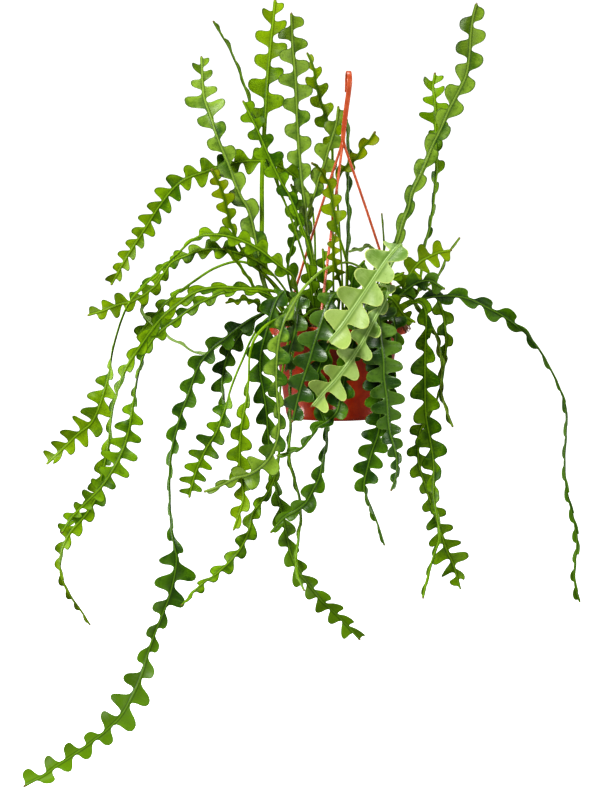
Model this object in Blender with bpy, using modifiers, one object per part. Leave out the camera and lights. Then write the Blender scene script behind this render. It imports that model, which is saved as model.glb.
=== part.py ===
"""A fishbone cactus in a 150 mm hanging pot, with the pot's moulded hanger.

Metres, +Z up. The origin is the point under the hook's bend where the hook bears on its support.
The front is the -Y side. The pieces: the pot, the hanger, the soil, and one flat lobed blade for each stem.
"""
import bisect
import bpy
import bmesh
import math
from mathutils import Vector, Matrix
from mathutils.geometry import interpolate_bezier

MM = 0.001
GAP = 0.3 * MM

# The pot. Heights here are measured from the middle of the rim band.
RIM_RADIUS = 75 * MM
RIM_TOP = 5 * MM
RIM_BOTTOM = -5 * MM
WALL_TOP_RADIUS = 67 * MM
BASE_RADIUS = 52 * MM
BASE_HEIGHT = -94 * MM
BASE_ROUND = 5 * MM
WALL = 1.8 * MM
POT_STEPS = 42
DRAIN_HOLES = 4
DRAIN_RADIUS = 4 * MM
DRAIN_CIRCLE = 30 * MM

# The soil.
SOIL_EDGE = -4 * MM
SOIL_CROWN = 0 * MM
STEM_DEPTH = 16 * MM
STEM_HOLE = 2.8 * MM
STEM_HOLE_FLOOR = 18 * MM
FOOT_LENGTH = SOIL_CROWN - SOIL_EDGE + STEM_DEPTH

# The hanger. Its three strands clip through the rim's ledge.
STRAND_CIRCLE = 70.5 * MM
STRAND_RADIUS = 1.4 * MM
STRAND_ANGLES = {"front": -14, "right": 106, "left": -134}
CLIP_HOLE = STRAND_RADIUS + GAP
CLIP_RADIUS = 2.3 * MM
CLIP_THICKNESS = 2.0 * MM
NECK = Vector((7.0, 0.0, 198.0)) * MM
STRAP_WIDTH = 5.3 * MM
STRAP_THICKNESS = 2.8 * MM
HOOK_FOOT = Vector((14.0, 0.0, 257.0)) * MM
HOOK_RADIUS = 11.5 * MM
HOOK_TURN = math.radians(5)
HOOK_LEG = 9 * MM

# The stems. Their routes are drawn as a viewer 3 m in front of the pot sees them.
EYE = Vector((-38.0, -3000.0, 186.4)) * MM
BLADE_THICKNESS = 0.9 * MM
STALK_HALF_WIDTH = 1.6 * MM
CORE = (1.6, 1.3)
STALK_STEP = 20 * MM
SAMPLE_STEP = 2 * MM

HOOK_CENTRE = HOOK_FOOT + HOOK_RADIUS * Vector((-math.sin(HOOK_TURN), math.cos(HOOK_TURN), 0))
ORIGIN = HOOK_CENTRE + Vector((0, 0, HOOK_RADIUS - STRAP_THICKNESS / 2))

# A stem, in millimetres from the middle of the rim: root is its place in the soil (x, y). Each route point
# is (side, depth, up, turn): where a viewer in front sees it on the pot's middle plane, how far behind that
# plane it lies, and how far the blade is turned, from 0, flat to the viewer, to 90, edge on. Past its bare
# stalk the blade has a lobe on each side every pitch, which goes from its first value there to its second
# at the tip. half lists the lobes' half widths, evenly spaced over the same stretch. core is the half width
# of the stalk and of the band between the lobes, at the root and at the tip, if it isn't the usual one.
# A stem that hangs in front of the pot or behind it bends "front", which keeps the blade's width along X.
STEMS = {
    "stem_left_1": dict(root=(-22, 52), pitch=(20, 16), stalk=168, tone="bright",
        half=(10, 13, 14, 14, 14, 12, 10, 8), route=[
            (-22, 50, 50, 60), (-23, 48, 106, 60), (-29, 46, 140, 50), (-44, 44, 159, 50),
            (-66, 44, 173, 20), (-88, 44, 176, 0), (-114, 42, 172, 0), (-136, 40, 165, 0),
            (-163, 38, 154, 0), (-183, 43, 132, 0), (-200, 53, 106, 0), (-220, 68, 75, 15),
            (-236, 85, 47, 0)]),
    "stem_left_2": dict(root=(-35, 0), pitch=(21, 19), stalk=60, core=(2, 1.8), tone="bright",
        half=(8, 12, 12, 10, 8, 7, 4, 2, 4, 15, 18, 14, 9), route=[
            (-40, -10, 34, 60), (-46, -18, 55, 40), (-60, -22, 66, 20), (-83, -22, 84, 15),
            (-110, -24, 96, 15), (-137, -24, 98, 30), (-152, -24, 92, 70), (-168, -24, 77, 85),
            (-184, -22, 62, 50), (-209, -20, 38, 50), (-222, -20, 19, 80), (-235, -18, -21, 85),
            (-241, -15, -55, 40), (-257, -8, -98, 5), (-274, 0, -113, 5), (-290, 9, -129, 25),
            (-305, 20, -143, 50)]),
    "stem_left_3": dict(root=(-40, 13), pitch=(20, 15), stalk=80, tone="mid",
        half=(5, 9, 11, 11, 10, 8, 9, 11, 12, 8), route=[
            (-50, 8, 34, 60), (-66, 4, 56, 50), (-84, 1, 71, 30), (-110, -4, 81, 25),
            (-137, -4, 83, 20), (-161, -3, 75, 20), (-173, -1, 69, 30), (-181, 0, 58, 20),
            (-191, 0, 44, 10), (-213, 2, 29, 5), (-229, 2, 25, 0), (-244, 2, 19, 10), (-260, 2, 14, 30)]),
    "stem_left_4": dict(root=(-42, 38), pitch=(22, 18), stalk=170, tone="mid",
        half=(3, 5, 8, 9, 9, 6), route=[
            (-58, 40, 34, 50), (-78, 40, 58, 35), (-99, 40, 70, 30), (-126, 40, 64, 30),
            (-153, 38, 47, 30), (-168, 36, 36, 60), (-179, 34, 27, 20), (-190, 32, 14, 0),
            (-200, 32, 4, 0), (-209, 30, -9, 10)]),
    "stem_left_5": dict(root=(-42, -17), pitch=(23, 15), stalk=55, tone="mid",
        half=(4, 7, 8, 8, 9, 7, 6, 15, 19, 13, 9, 7), route=[
            (-54, -26, 18, 60), (-65, -32, 31, 40), (-79, -36, 38, 30), (-96, -40, 41, 30),
            (-112, -44, 39, 30), (-130, -46, 33, 20), (-148, -48, 24, 10), (-173, -50, 6, 0),
            (-187, -50, -5, 0), (-200, -50, -22, 20), (-209, -50, -50, 70), (-214, -50, -80, 40),
            (-220, -50, -112, 0), (-229, -55, -137, 0), (-246, -64, -165, 0), (-268, -76, -188, 5),
            (-280, -89, -201, 10), (-290, -105, -216, 30)]),
    "stem_left_6": dict(root=(-34, -29), pitch=(24, 20), stalk=90, core=(2, 1.6), tone="dark",
        half=(5, 6, 7, 8, 8, 9, 6, 5, 10, 11, 11, 9, 5, 4, 3), route=[
            (-44, -36, 24, 60), (-54, -42, 34, 50), (-66, -50, 39, 40), (-80, -58, 41, 40),
            (-98, -66, 42, 30), (-124, -74, 43, 20), (-148, -76, 38, 10), (-167, -78, 25, 0),
            (-183, -78, 12, 0), (-195, -78, -3, 0), (-207, -74, -20, 0), (-220, -66, -40, 30),
            (-230, -50, -64, 60), (-236, -38, -86, 60), (-239, -34, -110, 50), (-241, -34, -127, 30),
            (-248, -31, -157, 10), (-254, -26, -180, 0), (-266, -19, -199, 0), (-280, -11, -215, 20),
            (-289, -2, -232, 40), (-293, 8, -252, 50), (-289, 19, -271, 50), (-281, 30, -286, 50),
            (-272, 43, -299, 55), (-262, 56, -315, 60)]),
    "stem_left_7": dict(root=(-57, 12), pitch=(24, 19), stalk=60, tone="pale",
        half=(3, 3, 4), route=[
            (-66, 14, 20, 40), (-78, 17, 15, 60), (-100, 18, 0, 60), (-120, 18, -16, 60),
            (-138, 18, -27, 60), (-150, 18, -25, 60), (-163, 17, -17, 50), (-177, 16, -9, 50),
            (-188, 16, 0, 40), (-200, 14, 11, 40), (-205, 14, 21, 30), (-201, 14, 32, 40)]),
    "stem_left_8": dict(root=(-36, 22), pitch=(18, 12), stalk=130, tone="olive",
        half=(3, 5, 12, 11, 6), route=[
            (-48, 17, 26, 60), (-66, 12, 48, 50), (-85, 10, 66, 50), (-99, 10, 82, 30),
            (-109, 10, 104, 10), (-113, 10, 117, 0), (-116, 10, 130, 0), (-119, 10, 142, 0),
            (-124, 10, 154, 0), (-130, 10, 166, 10)]),
    "stem_left_9": dict(root=(-46, 3), pitch=(24, 19), stalk=70, tone="olive",
        half=(2.5, 2.5, 2.5), route=[
            (-60, -4, 26, 0), (-76, -8, 34, 0), (-86, -10, 43, 0), (-93, -10, 54, 0),
            (-100, -10, 64, 0), (-108, -10, 74, 0), (-117, -10, 84, 0)]),
    "stem_left_10": dict(root=(-50, -6), pitch=(15, 12), stalk=34, tone="olive",
        half=(4, 6, 6, 4), route=[
            (-63, -8, 16, 30), (-76, -8, 20, 10), (-88, -8, 29, 0), (-100, -8, 30, 0), (-115, -8, 27, 0)]),
    "stem_up_1": dict(root=(-48, 27), pitch=(32, 23), stalk=232, core=(3, 1.8), tone="bright",
        half=(14, 17, 19, 18, 17, 14, 10), route=[
            (-60, 29, 22, 60), (-74, 30, 42, 25), (-79, 30, 70, 15), (-78, 30, 110, 15),
            (-78, 30, 150, 15), (-77, 30, 183, 10), (-75, 29, 213, 0), (-73, 34, 247, 0),
            (-70, 46, 283, 0), (-67, 60, 313, 0), (-64, 78, 342, 0)]),
    "stem_up_2": dict(root=(-16, 30), pitch=(33, 25), stalk=92, core=(2.6, 1.6), tone="grey",
        half=(4, 5, 7, 10, 13, 15, 16, 17, 16, 11), route=[
            (-20, 24, 30, 60), (-25, 18, 60, 50), (-30, 14, 97, 30), (-34, 14, 137, 10),
            (-36, 14, 150, 0), (-39, 14, 186, 0), (-41, 9, 223, 0), (-43, -1, 265, 0),
            (-46, -13, 301, 0), (-47, -28, 328, 0)]),
    "stem_up_3": dict(root=(-24, 40), pitch=(32, 27), stalk=150, core=(2, 1.4), tone="mid",
        half=(3.5, 4, 4, 3), route=[
            (-28, 34, 50, 60), (-42, 22, 100, 55), (-57, 14, 140, 55), (-73, 12, 178, 55),
            (-86, 12, 217, 55), (-92, 12, 241, 50), (-101, 6, 268, 50), (-113, -4, 295, 50),
            (-121, -17, 308, 50), (-128, -33, 320, 50)]),
    "stem_up_4": dict(root=(-12, 14), pitch=(27, 18), stalk=60, tone="mid",
        half=(3, 4, 4, 5, 8, 13, 14, 13, 8), route=[
            (-16, 4, 22, 20), (-21, -4, 45, 15), (-28, -6, 84, 5), (-36, -6, 107, 0), (-48, -6, 137, 0),
            (-59, -6, 156, 0), (-72, -6, 184, 0), (-84, -6, 211, 0), (-90, -6, 223, 0),
            (-97, -6, 237, 0)]),
    "stem_up_5": dict(root=(-52, 20), pitch=(38, 15), stalk=75, core=(2.2, 1.6), tone="grey",
        half=(5, 9, 12, 14, 12, 13, 14, 20, 13, 7), route=[
            (-66, 21, 24, 50), (-78, 21, 52, 30), (-82, 20, 79, 10), (-86, 20, 101, 0),
            (-92, 20, 124, 0), (-100, 20, 138, 0), (-106, 20, 152, 0), (-114, 20, 174, 0),
            (-124, 20, 199, 0), (-132, 26, 223, 0), (-138, 36, 240, 0), (-140, 49, 260, 0),
            (-141, 65, 283, 0)]),
    "stem_up_6": dict(root=(-2, 38), pitch=(24, 20), stalk=200, tone="olive",
        half=(6, 12, 13, 12, 8, 4), route=[
            (-3, 38, 60, 60), (-4, 38, 120, 30), (-4, 38, 160, 0), (-5, 38, 203, 0), (-11, 40, 222, 0),
            (-16, 45, 237, 0), (-21, 53, 255, 0), (-24, 64, 273, 0), (-30, 77, 287, 10)]),
    "stem_up_7": dict(root=(-10, 44), pitch=(28, 23), stalk=110, tone="grey",
        half=(3, 4, 6, 11, 14, 14, 8), route=[
            (-17, 43, 40, 60), (-25, 37, 80, 40), (-31, 31, 113, 10), (-27, 27, 128, 0),
            (-22, 23, 143, 0), (-18, 20, 158, 0), (-12, 16, 174, 0), (-8, 14, 188, 0), (-4, 12, 201, 0),
            (0, 12, 215, 0), (2, 12, 231, 10)]),
    "stem_up_8": dict(root=(8, 14), pitch=(19, 16), stalk=172, tone="olive",
        half=(4, 8, 9, 8), route=[
            (6, 16, 60, 60), (3, 19, 110, 40), (1, 20, 150, 10), (6, 20, 165, 0), (14, 20, 173, 0),
            (21, 20, 178, 0), (27, 20, 189, 0), (34, 20, 196, 0), (40, 20, 205, 10)]),
    "stem_up_9": dict(root=(12, 27), pitch=(30, 25), stalk=75, core=(2, 1.6), tone="dark",
        half=(3, 4, 5, 5, 4), route=[
            (11, 30, 40, 50), (12, 34, 91, 40), (13, 35, 106, 40), (12, 35, 150, 40), (13, 35, 180, 40),
            (11, 35, 218, 40)]),
    "stem_up_10": dict(root=(8, -14), pitch=(19, 17), stalk=128, tone="olive",
        half=(6, 12, 12, 9, 3, 2), route=[
            (10, -24, 20, 60), (12, -38, 48, 50), (11, -46, 70, 30), (7, -46, 84, 10), (2, -43, 99, 0),
            (-1, -41, 114, 0), (-4, -38, 130, 0), (-6, -36, 145, 0), (-11, -41, 157, 0),
            (-17, -51, 167, 0), (-25, -64, 173, 0)]),
    "stem_up_11": dict(root=(6, -30), pitch=(14, 11), stalk=78, tone="olive",
        half=(6, 8, 8, 5), route=[
            (7, -35, 22, 20), (6, -43, 37, 10), (4, -54, 49, 0), (1, -66, 59, 0), (-2, -73, 72, 0),
            (-3, -74, 85, 0), (-1, -73, 98, 0)]),
    "stem_up_12": dict(root=(-32, 48), pitch=(19, 16), stalk=85, tone="dark",
        half=(3, 5, 10, 10, 5), route=[
            (-44, 50, 30, 40), (-51, 50, 60, 30), (-48, 50, 80, 10), (-44, 50, 95, 0),
            (-42, 50, 109, 0), (-44, 50, 121, 0), (-42, 50, 134, 0), (-47, 50, 150, 0)]),
    "stem_right_1": dict(root=(36, 30), pitch=(34, 25), stalk=85, core=(4, 1.8), tone="grey",
        half=(5, 6, 7, 9, 10, 12, 13, 15, 15, 10), route=[
            (46, 28, 40, 50), (57, 22, 75, 40), (65, 18, 95, 15), (70, 18, 112, 0), (76, 18, 127, 0),
            (79, 18, 142, 0), (88, 18, 161, 0), (95, 18, 177, 0), (101, 18, 192, 0), (110, 16, 210, 0),
            (118, 14, 229, 0), (128, 10, 248, 0), (136, 6, 266, 0), (139, 1, 285, 0), (140, -5, 303, 0),
            (142, -11, 322, 0), (146, -17, 338, 20)]),
    "stem_right_2": dict(root=(49, 29), pitch=(26, 18), stalk=110, core=(2.6, 1.4), tone="mid",
        half=(3, 4, 5, 5, 10, 7, 17, 13, 8), route=[
            (68, 31, 24, 55), (84, 32, 34, 50), (89, 34, 55, 50), (93, 36, 88, 50), (98, 37, 106, 45),
            (101, 37, 125, 45), (103, 37, 145, 40), (105, 35, 165, 30), (105, 36, 185, 0),
            (104, 41, 205, 0), (104, 48, 220, 0), (103, 56, 240, 0), (101, 66, 252, 0),
            (103, 77, 266, 0)]),
    "stem_right_3": dict(root=(28, 12), pitch=(32, 26), stalk=80, tone="dark",
        half=(2, 2.5, 2), route=[
            (40, 8, 36, 60), (48, 4, 64, 60), (50, 2, 88, 60), (48, 0, 119, 60)]),
    "stem_right_4": dict(root=(54, -16), pitch=(27, 23), stalk=60, tone="dark",
        half=(6, 9, 12, 14, 16, 15, 15, 12, 8, 3, 3, 3, 2.5), route=[
            (68, -22, 22, 40), (80, -28, 27, 30), (90, -32, 26, 10), (95, -32, 14, 20),
            (95, -32, -8, 50), (94, -32, -31, 15), (94, -32, -61, 0), (95, -32, -91, 0),
            (99, -32, -115, 0), (103, -35, -139, 0), (104, -40, -157, 30), (104, -47, -177, 45),
            (108, -55, -203, 50), (110, -64, -222, 50), (104, -74, -243, 50), (98, -85, -264, 50),
            (93, -97, -286, 50)]),
    "stem_right_5": dict(root=(30, 42), pitch=(25, 18), stalk=110, tone="mid",
        half=(5, 10, 10, 7, 5, 9, 13, 12, 8, 12, 18, 18, 9), route=[
            (50, 40, 34, 60), (72, 42, 46, 60), (92, 42, 44, 40), (105, 38, 34, 10), (112, 32, 18, 0),
            (115, 26, 0, 0), (116, 22, -20, 30), (114, 20, -40, 80), (112, 20, -55, 85),
            (107, 20, -74, 85), (99, 20, -92, 80), (90, 18, -108, 40), (87, 18, -125, 0),
            (88, 19, -145, 0), (93, 22, -162, 0), (99, 25, -180, 0), (107, 29, -205, 0),
            (113, 34, -222, 0), (118, 39, -237, 0), (125, 44, -252, 0), (132, 50, -276, 50)]),
    "stem_right_6": dict(root=(42, -8), pitch=(26, 21), stalk=60, tone="grey",
        half=(3.5, 4.5, 4.5, 3), route=[
            (56, -12, 26, 50), (68, -16, 35, 40), (79, -16, 31, 35), (92, -16, 15, 35),
            (104, -14, -4, 35), (110, -12, -26, 35), (112, -12, -46, 35), (111, -12, -64, 35),
            (115, -12, -82, 35), (123, -12, -103, 35)]),
    "stem_right_7": dict(root=(57, 0), pitch=(28, 24), stalk=62, tone="mid",
        half=(6, 9, 10, 12, 11, 8, 5, 4, 4, 5, 6, 5, 4, 4), route=[
            (68, 1, 18, 50), (84, 4, 28, 20), (100, 6, 33, 0), (121, 8, 34, 0), (140, 10, 31, 0),
            (159, 12, 22, 0), (176, 12, 13, 20), (194, 14, 0, 60), (211, 18, -18, 80),
            (224, 23, -39, 80), (235, 29, -61, 80), (243, 36, -85, 60), (243, 43, -115, 60),
            (242, 52, -141, 60), (244, 60, -169, 60), (251, 70, -198, 50), (256, 79, -225, 40),
            (254, 90, -250, 50), (254, 101, -271, 60), (259, 112, -290, 40)]),
    "stem_right_8": dict(root=(40, 10), pitch=(32, 26), stalk=90, tone="grey",
        half=(2, 2, 2), route=[
            (58, 14, 28, 30), (78, 16, 36, 30), (90, 16, 41, 30), (99, 15, 47, 30), (107, 14, 55, 30),
            (112, 14, 65, 30), (118, 14, 79, 30), (129, 14, 94, 30)]),
    "stem_right_9": dict(root=(56, 13), pitch=(19, 14), stalk=45, tone="olive",
        half=(7, 14, 16, 15, 12), route=[
            (63, 8, 20, 30), (68, 6, 33, 15), (73, 6, 46, 5), (79, 6, 59, 0), (87, 6, 69, 0),
            (97, 6, 75, 0), (109, 6, 80, 0), (120, 6, 82, 0)]),
    "stem_right_10": dict(root=(36, -19), pitch=(12, 10), stalk=45, tone="bright",
        half=(6, 9, 9, 7), route=[
            (46, -32, 24, 20), (54, -42, 33, 10), (60, -46, 30, 0), (66, -48, 22, 0), (72, -50, 14, 0),
            (82, -51, 7, 0)]),
    "stem_right_11": dict(root=(46, 1), pitch=(22, 18), stalk=50, tone="dark",
        half=(6, 11, 12, 9), route=[
            (58, -5, 26, 30), (72, -8, 39, 10), (86, -8, 48, 0), (99, -8, 50, 0), (113, -8, 42, 0)]),
    "stem_front_1": dict(root=(30, -22), pitch=(29, 26), stalk=120, tone="pale", bends="front",
        half=(10, 18, 20, 21, 22, 23, 20), route=[
            (42, -26, 34, 0), (58, -36, 66, 0), (68, -50, 86, 0), (66, -64, 87, 0), (54, -78, 73, 0),
            (41, -94, 54, 0), (29, -104, 36, 0), (17.5, -110, 19, 0), (5, -115, 1, 0),
            (-8, -117, -14, 0)]),
    "stem_front_2": dict(root=(24, -36), pitch=(27, 21), stalk=70, tone="pale", bends="front",
        half=(5, 7, 7, 11, 16, 19, 19, 15), route=[
            (34, -48, 28, 0), (47, -64, 44, 0), (55, -80, 42, 0), (51, -93, 28, 0), (40, -100, 8, 0),
            (31, -102, -9, 0), (18, -103, -30, 0), (0, -104, -54, 0), (-12, -104, -67, 0),
            (-25, -104, -82, 0)]),
    "stem_front_3": dict(root=(20, -26), pitch=(25, 21), stalk=175, tone="bright", bends="front",
        half=(3, 5, 11, 14, 11, 6, 7, 17, 16, 8, 3), route=[
            (28, -34, 36, 0), (28, -44, 60, 0), (14, -54, 69, 0), (0, -60, 67, 0), (-14, -65, 61, 0),
            (-27, -76, 50, 0), (-38, -88, 37, 0), (-47, -95, 22, 0), (-55, -99, 6, 0),
            (-61, -101, -18, 0), (-63, -101, -50, 0), (-62, -100, -75, 0), (-60, -100, -96, 0),
            (-62, -100, -117, 0), (-71, -100, -138, 0), (-83, -100, -150, 0), (-95, -100, -156, 0),
            (-107, -100, -159, 0), (-122, -100, -167, 0), (-138, -100, -173, 0)]),
    "stem_front_4": dict(root=(-1, -42), pitch=(27, 22), stalk=50, tone="grey", bends="front",
        half=(8, 12, 14, 17, 17, 15, 10), route=[
            (3, -54, 26, 0), (3, -68, 38, 0), (-4, -81, 33, 0), (-11, -88, 18, 0), (-18, -91, -2, 0),
            (-24, -92, -20, 0), (-30, -92, -40, 0), (-37, -92, -62, 0), (-46, -92, -98, 0)]),
    "stem_front_5": dict(root=(-18, -40), pitch=(24, 19), stalk=62, tone="grey", bends="front",
        half=(6, 12, 14, 13, 8), route=[
            (-27, -52, 25, 0), (-36, -66, 35, 0), (-41, -79, 26, 0), (-42, -85, 10, 0),
            (-44, -86, -6, 0), (-49, -86, -25, 0), (-53, -86, -44, 0)]),
    "stem_front_6": dict(root=(38, -33), pitch=(20, 13), stalk=66, tone="dark", bends="front",
        half=(9, 17, 20, 20, 19, 17, 14, 9, 7, 4), route=[
            (42, -50, 22, 0), (44, -72, 22, 0), (45, -88, 8, 0), (47, -93, -12, 0), (50, -95, -32, 0),
            (51, -95, -53, 0), (54, -95, -76, 0), (55, -96, -93, 0), (57, -97, -110, 0),
            (62, -98, -127, 0), (65, -99, -143, 30), (64, -99, -157, 50), (59, -99, -171, 40)]),
    "stem_front_7": dict(root=(34, -46), pitch=(20, 16), stalk=62, tone="dark", bends="front",
        half=(8, 13, 16, 17, 17, 16, 16, 14, 5, 3, 2), route=[
            (38, -58, 14, 0), (42, -72, 13, 0), (43, -82, 2, 0), (45, -84, -30, 0), (46, -84, -55, 0),
            (47, -84, -85, 0), (45, -84, -110, 0), (38, -84, -131, 0), (33, -84, -150, 0),
            (30, -84, -166, 10), (32, -84, -177, 50), (38, -84, -192, 75), (45, -84, -210, 80),
            (51, -84, -229, 80)]),
    "stem_front_8": dict(root=(-3, -57), pitch=(24, 19), stalk=50, tone="dark", bends="front",
        half=(8, 12, 13, 13, 11, 7, 4, 6, 11, 11, 8, 5), route=[
            (-2, -70, 15, 0), (-1, -80, 8, 0), (-6, -83, -14, 0), (-16, -83, -36, 0),
            (-22, -83, -60, 0), (-17, -83, -85, 20), (-10, -80, -104, 50), (-10, -78, -123, 50),
            (-14, -78, -143, 50), (-17, -78, -157, 30), (-24, -77, -171, 0), (-32, -76, -185, 0),
            (-43, -76, -194, 0), (-55, -76, -201, 0), (-68, -76, -216, 20)]),
    "stem_front_9": dict(root=(14, -55), pitch=(23, 18), stalk=50, tone="dark", bends="front",
        half=(8, 12, 13, 14, 14, 12, 8, 6, 4), route=[
            (17, -69, 15, 0), (20, -82, 8, 0), (18, -89, -15, 0), (11, -91, -45, 0), (5, -92, -70, 0),
            (1, -95, -88, 10), (-8, -96, -98, 30), (-19, -97, -105, 50), (-27, -97, -116, 60),
            (-35, -97, -126, 60), (-47, -97, -131, 40), (-61, -97, -135, 20)]),
    "stem_low_1": dict(root=(-55, -15), pitch=(25, 28), stalk=60, tone="mid",
        half=(8, 11, 13, 12, 12, 10, 7, 3.5, 3.5, 9, 21, 19, 8, 9, 16, 20, 20, 9, 15, 13, 12), route=[
            (-66, -20, 17, 40), (-83, -22, 13, 10), (-101, -22, 2, 0), (-117, -22, -11, 0),
            (-134, -22, -25, 0), (-146, -22, -42, 5), (-155, -22, -68, 15), (-163, -22, -89, 15),
            (-169, -22, -110, 10), (-174, -22, -132, 30), (-176, -22, -156, 45), (-176, -22, -181, 50),
            (-175, -22, -205, 50), (-172, -22, -226, 40), (-169, -22, -243, 5), (-171, -22, -262, 0),
            (-176, -22, -283, 0), (-183, -22, -302, 0), (-192, -22, -324, 0), (-201, -25, -350, 0),
            (-208, -32, -373, 0), (-219, -40, -397, 0), (-230, -50, -415, 0), (-244, -61, -429, 0),
            (-260, -73, -442, 0), (-278, -86, -455, 10), (-296, -101, -467, 20), (-311, -116, -478, 20),
            (-332, -132, -490, 30)]),
    "stem_low_2": dict(root=(-46, -32), pitch=(20, 10), stalk=150, tone="mid",
        half=(9, 13, 15, 15, 11), route=[
            (-56, -42, 15, 60), (-68, -52, 13, 70), (-79, -58, 4, 70), (-90, -60, -13, 70),
            (-98, -60, -32, 75), (-105, -60, -48, 75), (-112, -60, -67, 75), (-116, -60, -83, 50),
            (-120, -60, -94, 25), (-127, -60, -111, 5), (-137, -60, -127, 0), (-145, -60, -144, 0),
            (-151, -60, -161, 0), (-155, -60, -178, 20)]),
    "stem_low_3": dict(root=(-58, 3), pitch=(22, 18), stalk=60, tone="dark",
        half=(7, 11, 12, 11, 7), route=[
            (-67, 2, 17, 50), (-81, 0, 12, 20), (-98, -2, -4, 0), (-112, -2, -23, 0),
            (-118, -2, -42, 0), (-120, -2, -60, 40), (-117, -2, -86, 60)]),
    "stem_low_4": dict(root=(-27, -49), pitch=(24, 19), stalk=150, tone="bright", bends="front",
        half=(3, 6, 12, 13, 11, 7), route=[
            (-38, -64, 15, 0), (-52, -78, 13, 0), (-71, -88, 5, 0), (-85, -91, -10, 20),
            (-91, -90, -28, 60), (-92, -90, -50, 70), (-94, -90, -74, 40), (-98, -90, -93, 15),
            (-101, -90, -113, 0), (-102, -90, -131, 0), (-102, -90, -149, 5), (-99, -90, -166, 10),
            (-98, -90, -182, 30), (-108, -90, -213, 30)]),
    "stem_low_5": dict(root=(-38, -41), pitch=(24, 20), stalk=56, tone="dark", bends="front",
        half=(8, 12, 14, 14, 13, 12, 9, 5, 7, 11, 11, 10, 12, 13, 13, 9), route=[
            (-46, -50, 28, 0), (-53, -57, 39, 0), (-63, -65, 29, 0), (-71, -71, 4, 0),
            (-79, -73, -25, 0), (-80, -73, -46, 0), (-77, -72, -65, 0), (-74, -70, -85, 0),
            (-72, -68, -108, 0), (-70, -65, -132, 10), (-67, -62, -152, 30), (-63, -60, -171, 20),
            (-58, -60, -193, 0), (-53, -60, -216, 0), (-48, -60, -239, 0), (-40, -60, -258, 0),
            (-27, -57, -275, 0), (-15, -52, -290, 0), (-5, -45, -299, 0), (8, -37, -312, 0),
            (25, -28, -331, 0)]),
    "stem_low_6": dict(root=(-17, -54), pitch=(28, 24), stalk=60, core=(2, 1.6), tone="mid", bends="front",
        half=(2.5, 3, 4, 4, 4, 4, 3), route=[
            (-27, -63, 15, 0), (-38, -69, 8, 20), (-45, -70, -20, 50), (-48, -70, -60, 50),
            (-48, -70, -110, 50), (-50, -68, -131, 45), (-46, -67, -153, 40), (-40, -66, -173, 50),
            (-37, -66, -194, 50), (-39, -66, -218, 50), (-42, -73, -244, 50), (-41, -85, -261, 40),
            (-34, -101, -278, 60)]),
    "stem_low_7": dict(root=(-10, -50), pitch=(22, 19), stalk=215, tone="mid", bends="front",
        half=(4, 5, 10, 10, 8, 6), route=[
            (-20, -66, 20, 0), (-34, -76, 12, 20), (-48, -79, -8, 60), (-57, -79, -48, 75),
            (-60, -79, -90, 75), (-60, -79, -120, 60), (-61, -79, -141, 20), (-67, -79, -164, 0),
            (-76, -79, -180, 0), (-87, -79, -195, 30), (-91, -79, -211, 30), (-96, -79, -225, 0),
            (-107, -79, -242, 0), (-125, -88, -260, 0), (-143, -103, -273, 10), (-163, -124, -294, 50)]),
    "stem_mid_1": dict(root=(-22, -8), pitch=(22, 18), stalk=28, tone="mid",
        half=(8, 12, 9), route=[
            (-24, -14, 26, 10), (-27, -18, 46, 0), (-30, -20, 67, 0)]),
    "stem_mid_2": dict(root=(-6, -16), pitch=(19, 16), stalk=34, tone="mid",
        half=(6, 9, 9, 6), route=[
            (-9, -24, 28, 10), (-12, -29, 50, 0), (-13, -30, 66, 0), (-14, -30, 82, 0)]),
    "stem_mid_3": dict(root=(18, -4), pitch=(22, 18), stalk=26, tone="dark",
        half=(8, 12, 10), route=[
            (17, -9, 22, 10), (16, -14, 42, 0), (19, -17, 58, 0), (29, -20, 70, 0)]),
    "stem_mid_4": dict(root=(30, 0), pitch=(19, 16), stalk=34, tone="mid",
        half=(6, 10, 9, 6), route=[
            (38, -5, 26, 10), (47, -10, 41, 0), (58, -14, 52, 0), (70, -18, 58, 0)]),
    "stem_mid_5": dict(root=(50, -29), pitch=(22, 18), stalk=45, tone="dark", bends="front",
        half=(6, 12, 13, 10), route=[
            (55, -44, 13, 0), (59, -58, 12, 0), (62, -70, 1, 0), (62, -73, -20, 0)]),
    "stem_mid_6": dict(root=(22, 22), pitch=(17, 14), stalk=85, tone="pale",
        half=(2.5, 4, 4, 3), route=[
            (36, 24, 50, 30), (43, 24, 76, 20), (36, 24, 86, 0), (27, 24, 84, 0), (15, 24, 81, 0)]),
    "stem_back_1": dict(root=(-14, 56), pitch=(27, 22), stalk=40, tone="mid", bends="front",
        half=(10, 15, 15, 11), route=[
            (-17, 66, 20, 0), (-20, 80, 15, 0), (-26, 90, -24, 0), (-30, 92, -52, 0), (-33, 92, -84, 0)]),
    "stem_back_2": dict(root=(14, 54), pitch=(27, 22), stalk=40, tone="dark", bends="front",
        half=(10, 16, 16, 11), route=[
            (17, 66, 21, 0), (20, 80, 16, 0), (24, 90, -24, 0), (22, 92, -52, 0), (18, 92, -84, 0)]),
}

# One lobe of a stem's edge, as (share of the pitch, share of the half width), from its root side's notch.
# Large lobes take four points, middle ones three, and the lobes of twigs two.
NOTCH = 0.16
LOBE = ((0.1, NOTCH), (0.4, 0.85), (0.72, 1.0), (0.94, 0.45))
MIDDLE_LOBE = ((0.12, NOTCH), (0.46, 0.95), (0.8, 0.9))
TWIG_LOBE = ((0.12, NOTCH), (0.7, 1.0))
LARGE = 13 * MM
MIDDLE = 5.5 * MM
UNEVEN = 0.1

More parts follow.
